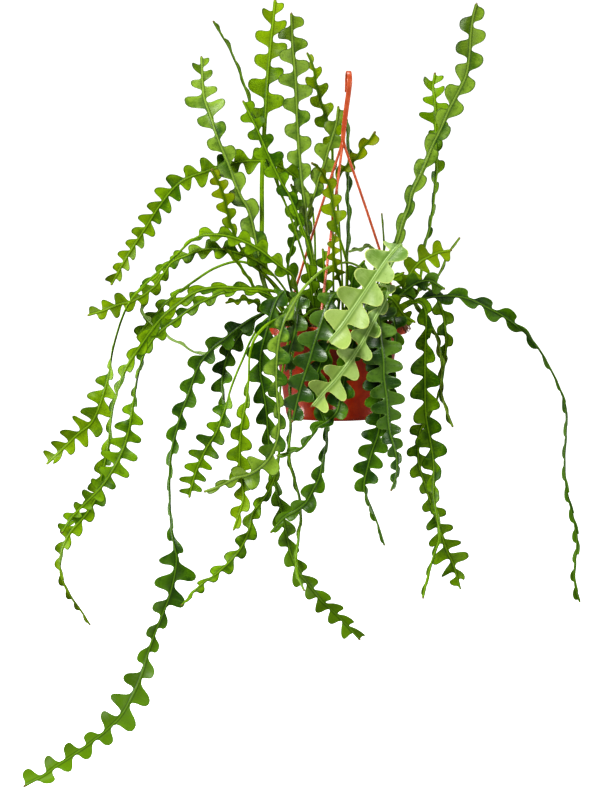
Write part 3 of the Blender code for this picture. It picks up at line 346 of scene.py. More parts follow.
coats = (
    ("Patch", rise(plus(patches, times(own_tone, LOBE_TONE)), 0.42, 0.82)),
    ("Patch", times(rise(veins, 0.52, 0.7), VEIN_AMOUNT)),
    ("Stalk", times(rise(clouds(place, MOTTLE_SCALE, 4.0), 0.5, 0.7), MOTTLE_AMOUNT, leafy)),
    ("Stalk", times(fall(outward, 0.1, 0.75), leafy, taken["Inner Shade"])),
    ("Rib", times(rise(clouds(place, FLECK_SCALE, 2.0), 0.6, 0.75), FLECK_AMOUNT)),
    # on the deep green this coat is a painted shade down the hanging end, not young growth
    ("Young_and_shade", maths("MINIMUM", youth_and_shade, 1.0)),
    ("Edge", times(fall(from_edge, 0.3 * MM, 1.7 * MM), rise(width, 1.5 * MM, 4 * MM),
                   taken["Edge Amount"], leafy)),
    # painted shade: the creases on both sides of the raised rib, in the stalk's dark green
    ("Stalk", times(rise(rib_widths, 0.8, 1.3), fall(rib_widths, 1.5, 3.2), leafy, RIB_SHADE_AMOUNT)),
    ("Rib", times(fall(rib_widths, 0.6, 1.2), taken["Rib Amount"])),
    ("Stalk", times(fall(from_rib, 0.15 * MM, 0.45 * MM), taken["Rib Line"])),
    # darker towards the root, in the stalk's green
    ("Stalk", times(fall(along, 20 * MM, 90 * MM), ROOT_DARKENING)),
)
colour = taken["Blade"]
for label, mask in coats:
    colour = layered(colour, mask, taken[label])
fill(given["Colour"], layered(colour, rise(youth_and_shade, 1.05, 1.5), DRY_TIP))
fill(given["Height"], plus(times(veins, VEIN_HEIGHT), patches))
print("group", skin.name, "with", len(skin.nodes), "nodes")

# %% [markdown]
# Each finish is a Principled material of its own. The plastics take the shared grain under a thin
# clear coat, the peat is a rough dark brown, and every tone of green is the shared skin with its
# own six colours. A cactus stem has a thin wax on it, so it is fairly smooth, with a roughness of
# about 0.35, and its mirror shine is weak.

# %% Finishes of the plastic and the peat
COAT_WEIGHT = 0.45
DULL_SHINE = 0.2


def new_material(name):
    """A material and its Principled shader, ready for nodes."""
    material = bpy.data.materials.new(name)
    material.use_nodes = True
    return material, material.node_tree.nodes["Principled BSDF"]


def grained(shader, **values):
    """The fine grain with its inputs filled in; it sets the shader's roughness."""
    surface = node(shader.id_data, "ShaderNodeGroup", node_tree=grain, **values)
    fill(shader.inputs["Roughness"], surface.outputs["Roughness"])
    return surface


def cloudy_finish(name, deep, light, start, end, **values):
    """Two colours in soft clouds, with grain: the base of the plastics, the peat and the bark."""
    material, shader = new_material(name)
    surface = grained(shader, **values)
    share = rise(surface.outputs["Mask"], start, end)
    fill(shader.inputs["Base Color"], layered((*deep, 1), share, (*light, 1)))
    fill(shader.inputs["Normal"], surface.outputs["Normal"])
    fill(shader.inputs["Specular IOR Level"], DULL_SHINE)
    return material, shader


def plastic_finish(name, deep, light, roughness, coat_roughness):
    """Moulded plastic: nearly one colour, faintly cloudy, with a very fine grain and a clear coat."""
    material, shader = cloudy_finish(name, deep, light, 0.3, 0.7, Scale=1600.0, Roughness=roughness,
                                     Spread=0.12, Strength=0.12, Depth=0.06 * MM)
    fill(shader.inputs["Coat Weight"], COAT_WEIGHT)
    fill(shader.inputs["Coat Roughness"], coat_roughness)
    return material


def peat_finish(name, deep, light, scale):
    """Loose peat or bark: two browns in grains, with a strong bump."""
    return cloudy_finish(name, deep, light, 0.35, 0.65, Scale=scale, Roughness=0.92, Spread=0.1,
                         Strength=0.9, Depth=1.2 * MM)[0]


POT_PLASTIC = plastic_finish("pot_plastic_fine", (0.27, 0.016, 0.0005), (0.36, 0.031, 0.0005),
                             roughness=0.35, coat_roughness=0.04)
# The hanger's plastic is lighter than the pot's; part of that lightness is painted light, for the light
# that its strands catch.
HANGER_PLASTIC = plastic_finish("hanger_plastic_fine", (0.36, 0.058, 0.016), (0.46, 0.093, 0.03),
                                roughness=0.3, coat_roughness=0.2)
PEAT = peat_finish("peat", (0.016, 0.009, 0.005), (0.055, 0.033, 0.019), 900.0)
BARK = peat_finish("bark_chips", (0.05, 0.024, 0.012), (0.16, 0.085, 0.045), 1500.0)
FIBRE = peat_finish("root_fibre", (0.09, 0.035, 0.016), (0.32, 0.17, 0.09), 1200.0)
print("finishes", POT_PLASTIC.name, HANGER_PLASTIC.name, PEAT.name, BARK.name, FIBRE.name)

# %% [markdown]
# Each green below has its six colours. Its traits say how strong the rib's colour is, how wide the
# rib is in millimetres, how strong the line at the edge is, and how much the skin shines. Only the
# pale green has the dark line in its rib, the dark green has the deepest painted shade beside its rib,
# and the deep green is a little smoother than the others. The deep green's grey-green patches are
# partly a painted sheen, and the colour of its growing end is a painted shade nearly as dark as its
# blade, which hides that sheen down the hanging end.

# %% Greens of the stems
GREENS = {
    "dark": dict(blade=(0.010, 0.048, 0.0003), patch=(0.06, 0.15, 0.001), rib=(0.10, 0.21, 0.006),
                 edge=(0.08, 0.16, 0.002), young_and_shade=(0.12, 0.24, 0.002), stalk=(0.008, 0.032, 0.001)),
    "mid": dict(blade=(0.026, 0.085, 0.0003), patch=(0.14, 0.27, 0.002), rib=(0.16, 0.29, 0.008),
                edge=(0.012, 0.035, 0.0005), young_and_shade=(0.15, 0.27, 0.001), stalk=(0.014, 0.045, 0.001)),
    "bright": dict(blade=(0.042, 0.11, 0.0004), patch=(0.16, 0.28, 0.002), rib=(0.17, 0.30, 0.01),
                   edge=(0.018, 0.045, 0.0005), young_and_shade=(0.20, 0.28, 0.002), stalk=(0.022, 0.06, 0.001)),
    "olive": dict(blade=(0.082, 0.165, 0.0004), patch=(0.17, 0.27, 0.001), rib=(0.03, 0.08, 0.001),
                  edge=(0.07, 0.07, 0.001), young_and_shade=(0.20, 0.245, 0.001), stalk=(0.028, 0.06, 0.001)),
    "grey": dict(blade=(0.033, 0.10, 0.002), patch=(0.19, 0.31, 0.027), rib=(0.20, 0.31, 0.038),
                 edge=(0.015, 0.045, 0.001), young_and_shade=(0.175, 0.265, 0.005), stalk=(0.015, 0.05, 0.002)),
    # the deep green: its grey-green patches are partly a painted sheen, and its growing-end colour is a
    # painted shade on the hanging end
    "deep": dict(blade=(0.012, 0.05, 0.001), patch=(0.085, 0.175, 0.012), rib=(0.11, 0.22, 0.01),
                 edge=(0.08, 0.165, 0.005), young_and_shade=(0.014, 0.055, 0.001), stalk=(0.008, 0.03, 0.001)),
    "pale": dict(blade=(0.10, 0.20, 0.027), patch=(0.27, 0.39, 0.13), rib=(0.28, 0.41, 0.12),
                 edge=(0.45, 0.53, 0.15), young_and_shade=(0.28, 0.38, 0.085), stalk=(0.06, 0.13, 0.01)),
}
TRAITS = {
    "dark": (0.6, 0.8, 0.5, 0.16), "mid": (0.65, 0.8, 0.7, 0.08), "bright": (0.65, 0.8, 0.7, 0.06),
    "olive": (0.85, 0.9, 0.7, 0.05), "grey": (0.7, 0.9, 0.7, 0.2), "deep": (0.5, 0.9, 0.6, 0.4),
    "pale": (0.8, 1.7, 0.85, 0.2),
}
RIB_LINES = {"pale": 0.75}
INNER_SHADES = {"dark": 0.65}
ROUGHNESSES = {"deep": 0.3}


def green_finish(tone):
    """The living skin of a stem in one of its greens."""
    material, shader = new_material("stem_" + tone + "_skin")
    rib_amount, rib_width, edge_amount, shine = TRAITS[tone]
    surface = node(shader.id_data, "ShaderNodeGroup", node_tree=skin, Rib_Amount=rib_amount,
                   Rib_Width=rib_width * MM, Edge_Amount=edge_amount, Rib_Line=RIB_LINES.get(tone, 0.0),
                   Inner_Shade=INNER_SHADES.get(tone, 0.4))
    for label, colour in GREENS[tone].items():
        fill(surface.inputs[label.capitalize()], (*colour, 1))
    fill(shader.inputs["Base Color"], surface.outputs["Colour"])
    sheen = grained(shader, Scale=1100.0, Roughness=ROUGHNESSES.get(tone, 0.36), Spread=0.2,
                    Strength=0.25, Depth=0.1 * MM)
    swelling = node(shader.id_data, "ShaderNodeBump", Strength=0.5, Distance=0.8 * MM,
                    Height=surface.outputs["Height"], Normal=sheen.outputs["Normal"])
    fill(shader.inputs["Normal"], swelling.outputs[0])
    fill(shader.inputs["Specular IOR Level"], shine)
    return material


SKINS = {tone: green_finish(tone) for tone in GREENS}
print("greens", sorted(SKINS))

# %% [markdown]
# A stem's route is drawn the way an illustrator lays out a plant: where a viewer in front of the
# pot sees it, plus how far behind the pot's middle it lies. The helper below turns such a point
# into a true place on the line of sight. A smooth curve then runs through the points, and at every
# distance along it the stem knows its place, the direction across its blade, and the direction that
# its face looks.

# %% The middle line of a stem
SAMPLE_STEP = 2 * MM
ROOT_HEIGHTS = (SOIL_EDGE - STEM_DEPTH, SOIL_EDGE - STEM_DEPTH / 2, SOIL_CROWN, SOIL_CROWN + 4 * MM)


def laid_out(side, depth, up):
    """The true place of a point that the viewer sees at (side, up) on the pot's middle plane."""
    share = 1 + depth / EYE_DISTANCE
    return Vector((EYE.x + (side * MM - EYE.x) * share, depth * MM, EYE.z + (up * MM - EYE.z) * share))


def direction(line, i):
    """The direction of a line at one of its points."""
    return (line[min(i + 1, len(line) - 1)] - line[max(i - 1, 0)]).normalized()


def smooth_line(points):
    """Places and turns at even short steps along a smooth curve through a stem's points."""
    places = [Vector(p[:3]) for p in points]
    turns = [p[3] for p in points]
    slopes = [direction(places, i) for i in range(len(places))]
    line, spins = [], []
    for i in range(len(places) - 1):
        span = (places[i + 1] - places[i]).length
        pieces = max(2, round(span / SAMPLE_STEP))
        handle = span / 3
        stretch = interpolate_bezier(places[i], places[i] + slopes[i] * handle,
                                     places[i + 1] - slopes[i + 1] * handle, places[i + 1], pieces + 1)
        for k in range(pieces):
            line.append(Vector(stretch[k]))
            spins.append(turns[i] + (turns[i + 1] - turns[i]) * k / pieces)
    return line + [places[-1]], spins + [turns[-1]]


class Spine:
    """A stem's middle line, with the directions across its blade and out of its face."""

    def __init__(self, root, route, bends):
        route = [point if len(point) == 4 else (*point, 0) for point in route]
        points = [(root[0] * MM, root[1] * MM, height, route[0][3]) for height in ROOT_HEIGHTS]
        points += [(*laid_out(side, depth, up), turn) for side, depth, up, turn in route]
        self.line, self.spins = smooth_line(points)
        self.bends = bends
        self.reach = [0.0]
        for a, b in zip(self.line, self.line[1:]):
            self.reach.append(self.reach[-1] + (b - a).length)
        self.length = self.reach[-1]

    def at(self, distance):
        """The place, the direction across the blade and the way its face looks, at a distance."""
        i = min(bisect.bisect_right(self.reach, distance), len(self.reach) - 1) - 1
        share = (distance - self.reach[i]) / (self.reach[i + 1] - self.reach[i])
        place = self.line[i].lerp(self.line[i + 1], share)
        spin = math.radians(self.spins[i] + (self.spins[i + 1] - self.spins[i]) * min(share, 1.0))
        along = (self.line[min(i + 2, len(self.line) - 1)] - self.line[max(i - 1, 0)]).normalized()
        if self.bends == "front":
            across = (Vector((1, 0, 0)) - along * along.x).normalized()
        else:
            across = along.cross((Vector((0, -1, 0)) + along * along.y).normalized())
        across = Matrix.Rotation(spin, 3, along) @ across
        facing = along.cross(across) if self.bends == "front" else across.cross(along)
        return place, across, facing


print("sampling every", SAMPLE_STEP, "m")

# %% [markdown]
# A lobe could be a circle cut into the edge, but the real one is lopsided: from the bay on its root
# side the edge runs out slantwise, rounds a broad ear, and falls steeply back to the rib on the tip
# side. The outlines below are that edge, drawn once as shares of the pitch and of the half width: a
# round ear, a fan with a broad foot, a thumb and a scale, and a simple bud for thin stems. Every
# broad stem mixes two of them, in a share that wanders a little from lobe to lobe. Lobes alternate:
# those on one side stand half a pitch further along than on the other.

# %% The outline of one lobe
BAY = 0.11
EAR = ((0.10, BAY), (0.20, 0.16), (0.275, 0.32), (0.335, 0.55), (0.405, 0.76), (0.49, 0.91),
       (0.60, 0.99), (0.72, 1.0), (0.82, 0.95), (0.90, 0.82), (0.935, 0.62), (0.94, 0.42),
       (0.955, 0.27), (1.00, 0.15))
FAN = ((0.03, 0.14), (0.10, 0.22), (0.18, 0.35), (0.27, 0.51), (0.36, 0.66), (0.46, 0.81),
       (0.56, 0.93), (0.66, 0.99), (0.76, 1.0), (0.85, 0.93), (0.905, 0.79), (0.935, 0.60),
       (0.955, 0.38), (1.00, 0.18))
THUMB = ((0.10, BAY), (0.28, 0.14), (0.37, 0.27), (0.42, 0.48), (0.465, 0.70), (0.53, 0.88),
         (0.62, 0.985), (0.72, 1.0), (0.81, 0.95), (0.875, 0.82), (0.90, 0.64), (0.895, 0.44),
         (0.905, 0.27), (0.96, 0.14))
SCALE = ((0.06, 0.22), (0.13, 0.32), (0.19, 0.50), (0.26, 0.70), (0.35, 0.87), (0.46, 0.97),
         (0.60, 1.0), (0.73, 0.98), (0.84, 0.89), (0.91, 0.75), (0.955, 0.57), (0.965, 0.41),
         (0.98, 0.29), (1.01, 0.23))
BUD = ((0.1, BAY), (0.3, 0.25), (0.46, 0.72), (0.6, 0.98), (0.74, 0.96), (0.85, 0.68),
       (0.93, 0.34), (1.02, 0.18))
USUAL_CORE = (1.6, 1.3)
BROAD, BROADEST = 9, 14
UNEVEN = 0.1
FORM_WANDER = 0.25
WIDEST_AT = 0.7


def width_along(halves, share):
    """The blade's half width at a share of its lobed length, between the widths in the table."""
    place = min(max(share, 0.0), 1.0) * (len(halves) - 1)
    i = min(int(place), len(halves) - 2)
    return (halves[i] + (halves[i + 1] - halves[i]) * (place - i)) * MM


class Lobing:
    """Where a stem's lobes stand along it, and how wide the band between them is."""

    def __init__(self, stem, length):
        self.start = stem["stalk"] * MM
        self.length = length
        self.pitches = stem["pitch"]
        self.core = stem.get("core", USUAL_CORE)
        self.count = max(2, round((length - self.start) / (sum(self.pitches) / 2 * MM) - 0.5))

    def place(self, number):
        """How far along the stem a lobe begins; the right edge counts its lobes from 0.5."""
        first, last = self.pitches
        share = number / (self.count + 0.5)
        grown = share * (2 * first + (last - first) * share) / (first + last)
        return self.start + (self.length - self.start) * grown

    def core_at(self, distance):
        """Half the width of the solid band along the rib, at a distance along the stem."""
        first, last = self.core
        return (first + (last - first) * distance / self.length) * MM


print("points on a broad stem's lobe", len(EAR), "on a thin one's", len(BUD))

# %% [markdown]
# The blade is woven from rows. Each row starts on the rib and ends on the outline, and because a
# row may slant, a lobe can lean over its bay. Both faces are made this way, one on each side of the
# middle sheet, thick at the rib and thin at the edge, so no modifier has to guess the thickness. A
# little cupping and twist, different for each lobe, catches the light as the living plant does.

# %% Weave a stem
RIB_HEIGHT = 1.0 * MM
RIB_REACH = 0.95 * MM
RIB_TAPER = 0.4
FLESH = 0.42 * MM
STALK_HALF_WIDTH = 1.6 * MM
STALK_ROW = 3.5 * MM
RIB_COLUMNS = ((0.8 * MM, 0.4), (1.5 * MM, 0.66), (2.3 * MM, 0.84))
COLUMNS = (0.38, 0.74, 0.93, 1.0)
TIP_HALF_WIDTHS = (1.4 * MM, 1.0 * MM, 0.4 * MM)
TIP_ROW = 0.7 * MM
TIP_CURL = 1.4
CURL_FROM, CURL_OVER = 0.8, 0.2
DRY_LENGTH = 3 * MM
LEAFY_LEAD, LEAFY_OVER = 10 * MM, 25 * MM
CUP_SPREAD, TWIST, WAVE = 0.8, 0.3, 0.03
CUPPED, TWISTED, TONED, FORMED = 0, 1, 2, 5


class Blade:
    """The rows, widths and lobes of one stem, worked out from its entry in the table."""

    def __init__(self, name, stem, form):
        self.spine = Spine(stem["root"], stem["route"], stem.get("bends", "side"))
        self.halves = stem["half"]
        self.length = self.spine.length
        self.lobing = Lobing(stem, self.length)
        self.start = self.lobing.start
        self.forms = (BUD, BUD, 0) if max(self.halves) < BROAD else form
        self.points = len(self.forms[0])
        self.rib = (0.55 + 0.45 * min(1.0, max(self.halves) / BROADEST)) * RIB_HEIGHT
        self.seed = sum(ord(letter) * (i + 3) for i, letter in enumerate(name))

    def own(self, number, side, kind):
        """A fixed number from -1 to 1 of each lobe's own, another one for each kind of change."""
        return math.sin(self.seed * 0.37 + number * 2.4 + side * 4.1 + kind * 1.7
                        + number * number * 0.9)

    def edge(self, row, side):
        """Where a row meets the outline: distance along, half width, and the lobe it belongs to."""
        lobing = self.lobing
        distance = lobing.place(row / self.points)
        shift = 0.5 if side > 0 else 0.0
        part = row - round(shift * self.points)
        if row < 0 or part < 0 or part >= lobing.count * self.points:
            return distance, lobing.core_at(distance), None
        number, point = divmod(part, self.points)
        first, second, share = self.forms
        share = min(1.0, max(0.0, share + FORM_WANDER * self.own(number, side, FORMED)))
        reach, width = Vector(first[point]).lerp(Vector(second[point]), share)
        foot = lobing.place(number + shift)
        pitch = lobing.place(number + shift + 1) - foot
        widest = foot + WIDEST_AT * pitch
        size = width_along(self.halves, (widest - self.start) / (self.length - self.start))
        size *= 1 + UNEVEN * math.sin(2.4 * number + 4 * shift)
        distance = foot + reach * pitch
        return distance, max(width * size, lobing.core_at(distance)), (number, size, reach)

    def half_thickness(self, lateral, width, along):
        """Half the blade's thickness at a distance from the rib."""
        rib = self.rib * (1 - RIB_TAPER * along) * math.exp(-((lateral / RIB_REACH) ** 2))
        return rib + FLESH * (1 - 0.5 * (lateral / max(width, 1e-6)) ** 4)

    def lift(self, lobe, side, lateral, cup):
        """How far a lobe's point is lifted out of the flat, and the lobe's own tone from 0 to 1."""
        number, size, share = lobe
        out = lateral / size
        bend = cup * (1 + CUP_SPREAD * self.own(number, side, CUPPED)) * out * out
        turn = TWIST * self.own(number, side, TWISTED) * (share - 0.55) * out
        wave = WAVE * math.sin(9 * share + self.seed) * out * out
        return size * (bend + turn + wave), 0.5 + 0.5 * self.own(number, side, TONED)


def sheet_faces(front, back):
    """The faces of a closed sheet, from its rows of points in front and those behind them."""
    faces = []
    for a, b, c, d in zip(front, front[1:], back, back[1:]):
        for k in range(len(a) - 1):
            faces.append((a[k], a[k + 1], b[k + 1], b[k]))
            faces.append((c[k + 1], c[k], d[k], d[k + 1]))
        faces.append((a[0], b[0], d[0], c[0]))
        faces.append((b[-1], a[-1], c[-1], d[-1]))
    for strip, other in ((front[0], back[0]), (front[-1], back[-1])):
        for k in range(len(strip) - 1):
            faces.append((strip[k], other[k], other[k + 1], strip[k + 1]))
    return faces


def weave(name, stem, tone, young_and_shade_from, young_and_shade_most, form, cup):
    """One stem as a closed mesh with its skin and growth attributes."""
    blade = Blade(name, stem, form)
    bare = max(1, round(blade.start / STALK_ROW))
    lobed = round((blade.lobing.count + 0.5) * blade.points)
    vertices, skins, growths, front, back = [], [], [], [], []
    for row in range(-bare, lobed + 1 + len(TIP_HALF_WIDTHS)):
        base = blade.start * (1 + row / bare) if row < 0 else blade.lobing.place(row / blade.points)
        if row > lobed:
            base = blade.length + (row - lobed) * TIP_ROW
        along = base / blade.length
        curl = 1 + TIP_CURL * max(0.0, (along - CURL_FROM) / CURL_OVER)
        young_and_shade = young_and_shade_most * min(1.0, max(0.0, (along - young_and_shade_from) / max(1e-3, 1 - young_and_shade_from)))
        young_and_shade += max(0.0, 1.3 - (blade.length + 2 * MM - base) / DRY_LENGTH)
        leafy = min(1.0, max(0.0, (base - blade.start + LEAFY_LEAD) / LEAFY_OVER))
        halves = []
        for side in (-1, 1):
            reach, width, lobe = blade.edge(row, side)
            if row < 0 or row > lobed:
                reach = base
            if base < FOOT_LENGTH + 4 * MM:
                width = STALK_HALF_WIDTH
            if row > lobed:
                width = TIP_HALF_WIDTHS[row - lobed - 1]
            inner = [min(most, share * width) for most, share in RIB_COLUMNS]
            points = []
            for lateral in inner + [inner[-1] + (width - inner[-1]) * share for share in COLUMNS]:
                distance = base + (reach - base) * lateral / width
                lift, shade = blade.lift(lobe, side, lateral, cup * curl) if lobe else (0.0, 0.5)
                points.append((distance, lateral * side, width, lift, shade))
            halves.append(points)
        cross = halves[0][::-1] + [(base, 0.0, halves[0][0][2], 0.0, 0.5)] + halves[1]
        strips = ([], [])
        for distance, lateral, width, lift, shade in cross:
            place, across, facing = blade.spine.at(distance)
            middle = place + across * lateral + facing * lift
            thick = blade.half_thickness(abs(lateral), width, along)
            for sign, strip in zip((1, -1), strips):
                strip.append(len(vertices))
                vertices.append(middle + facing * thick * sign + RIM_CENTRE)
                skins.append((distance, lateral, max(0.0, width - abs(lateral))))
                growths.append((young_and_shade, shade, leafy))
        front.append(strips[0])
        back.append(strips[1])
    return finish_mesh(name, vertices, sheet_faces(front, back), SKINS[tone], skins, growths)


def finish_mesh(name, vertices, faces, material, skins=None, growths=None):
    """Make an object from points and faces, smooth, with outward normals and its attributes."""
    mesh = bpy.data.meshes.new(name)
    mesh.from_pydata([tuple(v) for v in vertices], [], faces)
    for label, values in (("skin", skins), ("growth", growths)):
        if values:
            layer = mesh.attributes.new(label, "FLOAT_VECTOR", "POINT")
            layer.data.foreach_set("vector", [number for value in values for number in value])
    builder = bmesh.new()
    builder.from_mesh(mesh)
    bmesh.ops.recalc_face_normals(builder, faces=builder.faces)
    builder.to_mesh(mesh)
    builder.free()
    mesh.shade_smooth()
    mesh.materials.append(material)
    return placed(name, mesh)


print("weaving helpers ready")

# %% [markdown]
# Every stem has an entry below, in millimetres from the middle of the rim. Its root is its place in
# the soil. Each route point gives side, depth, up and turn: where a viewer in front sees it, how
# far behind the pot's middle it lies, and how far the blade is turned, up to 90, edge on. A point
# without a turn is flat to the viewer. Past its bare stalk the blade has a lobe on each side every
# pitch, a length that changes from the first number near the root to the second at the tip. Half
# lists its half widths, evenly spaced from there to the tip, and core, where it is given, the half
# width of the solid middle at both ends. A stem that bends towards the viewer or away says so with
# bends, and its blade then stays level from left to right. Drawing each one from what the eye sees
# gives a plant that no random scatter would, because a real plant's stems crowd, cross and lean for a
# reason. The free ends drift forwards and backwards, so it is as deep as a grown plant.

# %% The stems on the left
LEFT = {
    "stem_left_1": dict(root=(-22, 52), pitch=(20, 16), stalk=168, tone="bright",
        half=(10, 13, 14, 14, 14, 12, 10, 8), route=[
        (-22, 50, 50, 60), (-23, 48, 106, 60), (-29, 46, 140, 50), (-44, 44, 159, 50),
        (-66, 44, 173, 20), (-88, 44, 176), (-114, 42, 172), (-136, 40, 165), (-163, 38, 154),
        (-183, 43, 132), (-200, 53, 106), (-220, 68, 75, 15), (-236, 85, 47)]),
    "stem_left_2": dict(root=(-35, 0), pitch=(21, 19), stalk=60, core=(2, 1.8), tone="bright",
        half=(8, 12, 12, 10, 8, 7, 4, 2, 4, 15, 18, 14, 9), route=[
        (-40, -10, 34, 60), (-46, -18, 55, 40), (-60, -22, 66, 20), (-83, -22, 84, 15),
        (-110, -24, 96, 15), (-137, -24, 98, 30), (-152, -24, 92, 70), (-168, -24, 77, 85),
        (-184, -22, 62, 50), (-209, -20, 38, 50), (-222, -20, 19, 80), (-235, -18, -21, 85),
        (-241, -15, -55, 40), (-257, -8, -98, 5), (-274, 0, -113, 5), (-290, 9, -129, 25),
        (-305, 20, -143, 50)]),
    "stem_left_3": dict(root=(-40, 13), pitch=(20, 15), stalk=80, tone="mid",
        half=(5, 9, 11, 11, 10, 8, 9, 11, 12, 8), route=[
        (-50, 8, 34, 60), (-66, 4, 56, 50), (-84, 1, 71, 30), (-110, -4, 81, 25),
        (-137, -4, 83, 20), (-161, -3, 75, 20), (-173, -1, 69, 30), (-181, 0, 58, 20),
        (-191, 0, 44, 10), (-213, 2, 29, 5), (-229, 2, 25), (-244, 2, 19, 10), (-260, 2, 14, 30)]),
    "stem_left_4": dict(root=(-42, 38), pitch=(22, 18), stalk=170, tone="mid",
        half=(3, 5, 8, 9, 9, 6), route=[
        (-58, 40, 34, 50), (-78, 40, 58, 35), (-99, 40, 70, 30), (-126, 40, 64, 30),
        (-153, 38, 47, 30), (-168, 36, 36, 60), (-179, 34, 27, 20), (-190, 32, 14), (-200, 32, 4),
        (-209, 30, -9, 10)]),
    "stem_left_5": dict(root=(-42, -17), pitch=(23, 15), stalk=55, tone="mid",
        half=(4, 7, 8, 8, 9, 7, 6, 15, 19, 13, 9, 7), route=[
        (-54, -26, 18, 60), (-65, -32, 31, 40), (-79, -36, 38, 30), (-96, -40, 41, 30),
        (-112, -44, 39, 30), (-130, -46, 33, 20), (-148, -48, 24, 10), (-173, -50, 6),
        (-187, -50, -5), (-200, -50, -22, 20), (-209, -50, -50, 70), (-214, -50, -80, 40),
        (-220, -50, -112), (-229, -55, -137), (-246, -64, -165), (-268, -76, -188, 5),
        (-280, -89, -201, 10), (-290, -105, -216, 30)]),
    "stem_left_6": dict(root=(-34, -29), pitch=(24, 20), stalk=90, core=(2, 1.6), tone="dark",
        half=(5, 6, 7, 8, 8, 9, 6, 5, 10, 11, 11, 9, 5, 4, 3), route=[
        (-44, -36, 24, 60), (-54, -42, 34, 50), (-66, -50, 39, 40), (-80, -58, 41, 40),
        (-98, -66, 42, 30), (-124, -74, 43, 20), (-148, -76, 38, 10), (-167, -78, 25),
        (-183, -78, 12), (-195, -78, -3), (-207, -74, -20), (-220, -66, -40, 30),
        (-230, -50, -64, 60), (-236, -38, -86, 60), (-239, -34, -110, 50), (-241, -34, -127, 30),
        (-248, -31, -157, 10), (-254, -26, -180), (-266, -19, -199), (-280, -11, -215, 20),
        (-289, -2, -232, 40), (-293, 8, -252, 50), (-289, 19, -271, 50), (-281, 30, -286, 50),
        (-272, 43, -299, 55), (-262, 56, -315, 60)]),
    "stem_left_7": dict(root=(-57, 12), pitch=(24, 19), stalk=60, tone="pale",
        half=(3, 3, 4), route=[
        (-66, 14, 20, 40), (-78, 17, 15, 60), (-100, 18, 0, 60), (-120, 18, -16, 60),
        (-138, 18, -27, 60), (-150, 18, -25, 60), (-163, 17, -17, 50), (-177, 16, -9, 50),
        (-188, 16, 0, 40), (-200, 14, 11, 40), (-205, 14, 21, 30), (-201, 14, 32, 40)]),
    "stem_left_8": dict(root=(-36, 22), pitch=(18, 12), stalk=130, tone="olive",
        half=(3, 5, 12, 11, 6), route=[
        (-48, 17, 26, 60), (-66, 12, 48, 50), (-85, 10, 66, 50), (-99, 10, 82, 30),
        (-109, 10, 104, 10), (-113, 10, 117), (-116, 10, 130), (-119, 10, 142), (-124, 10, 154),
        (-130, 10, 166, 10)]),
    "stem_left_9": dict(root=(-46, 3), pitch=(24, 19), stalk=70, tone="olive",
        half=(2.5, 2.5, 2.5), route=[
        (-60, -4, 26), (-76, -8, 34), (-86, -10, 43), (-93, -10, 54), (-100, -10, 64),
        (-108, -10, 74), (-117, -10, 84)]),
    "stem_left_10": dict(root=(-50, -6), pitch=(15, 12), stalk=34, tone="olive",
        half=(4, 6, 6, 4), route=[
        (-63, -8, 16, 30), (-76, -8, 20, 10), (-88, -8, 29), (-100, -8, 30), (-115, -8, 27)]),
}
print("the stems on the left:", len(LEFT))

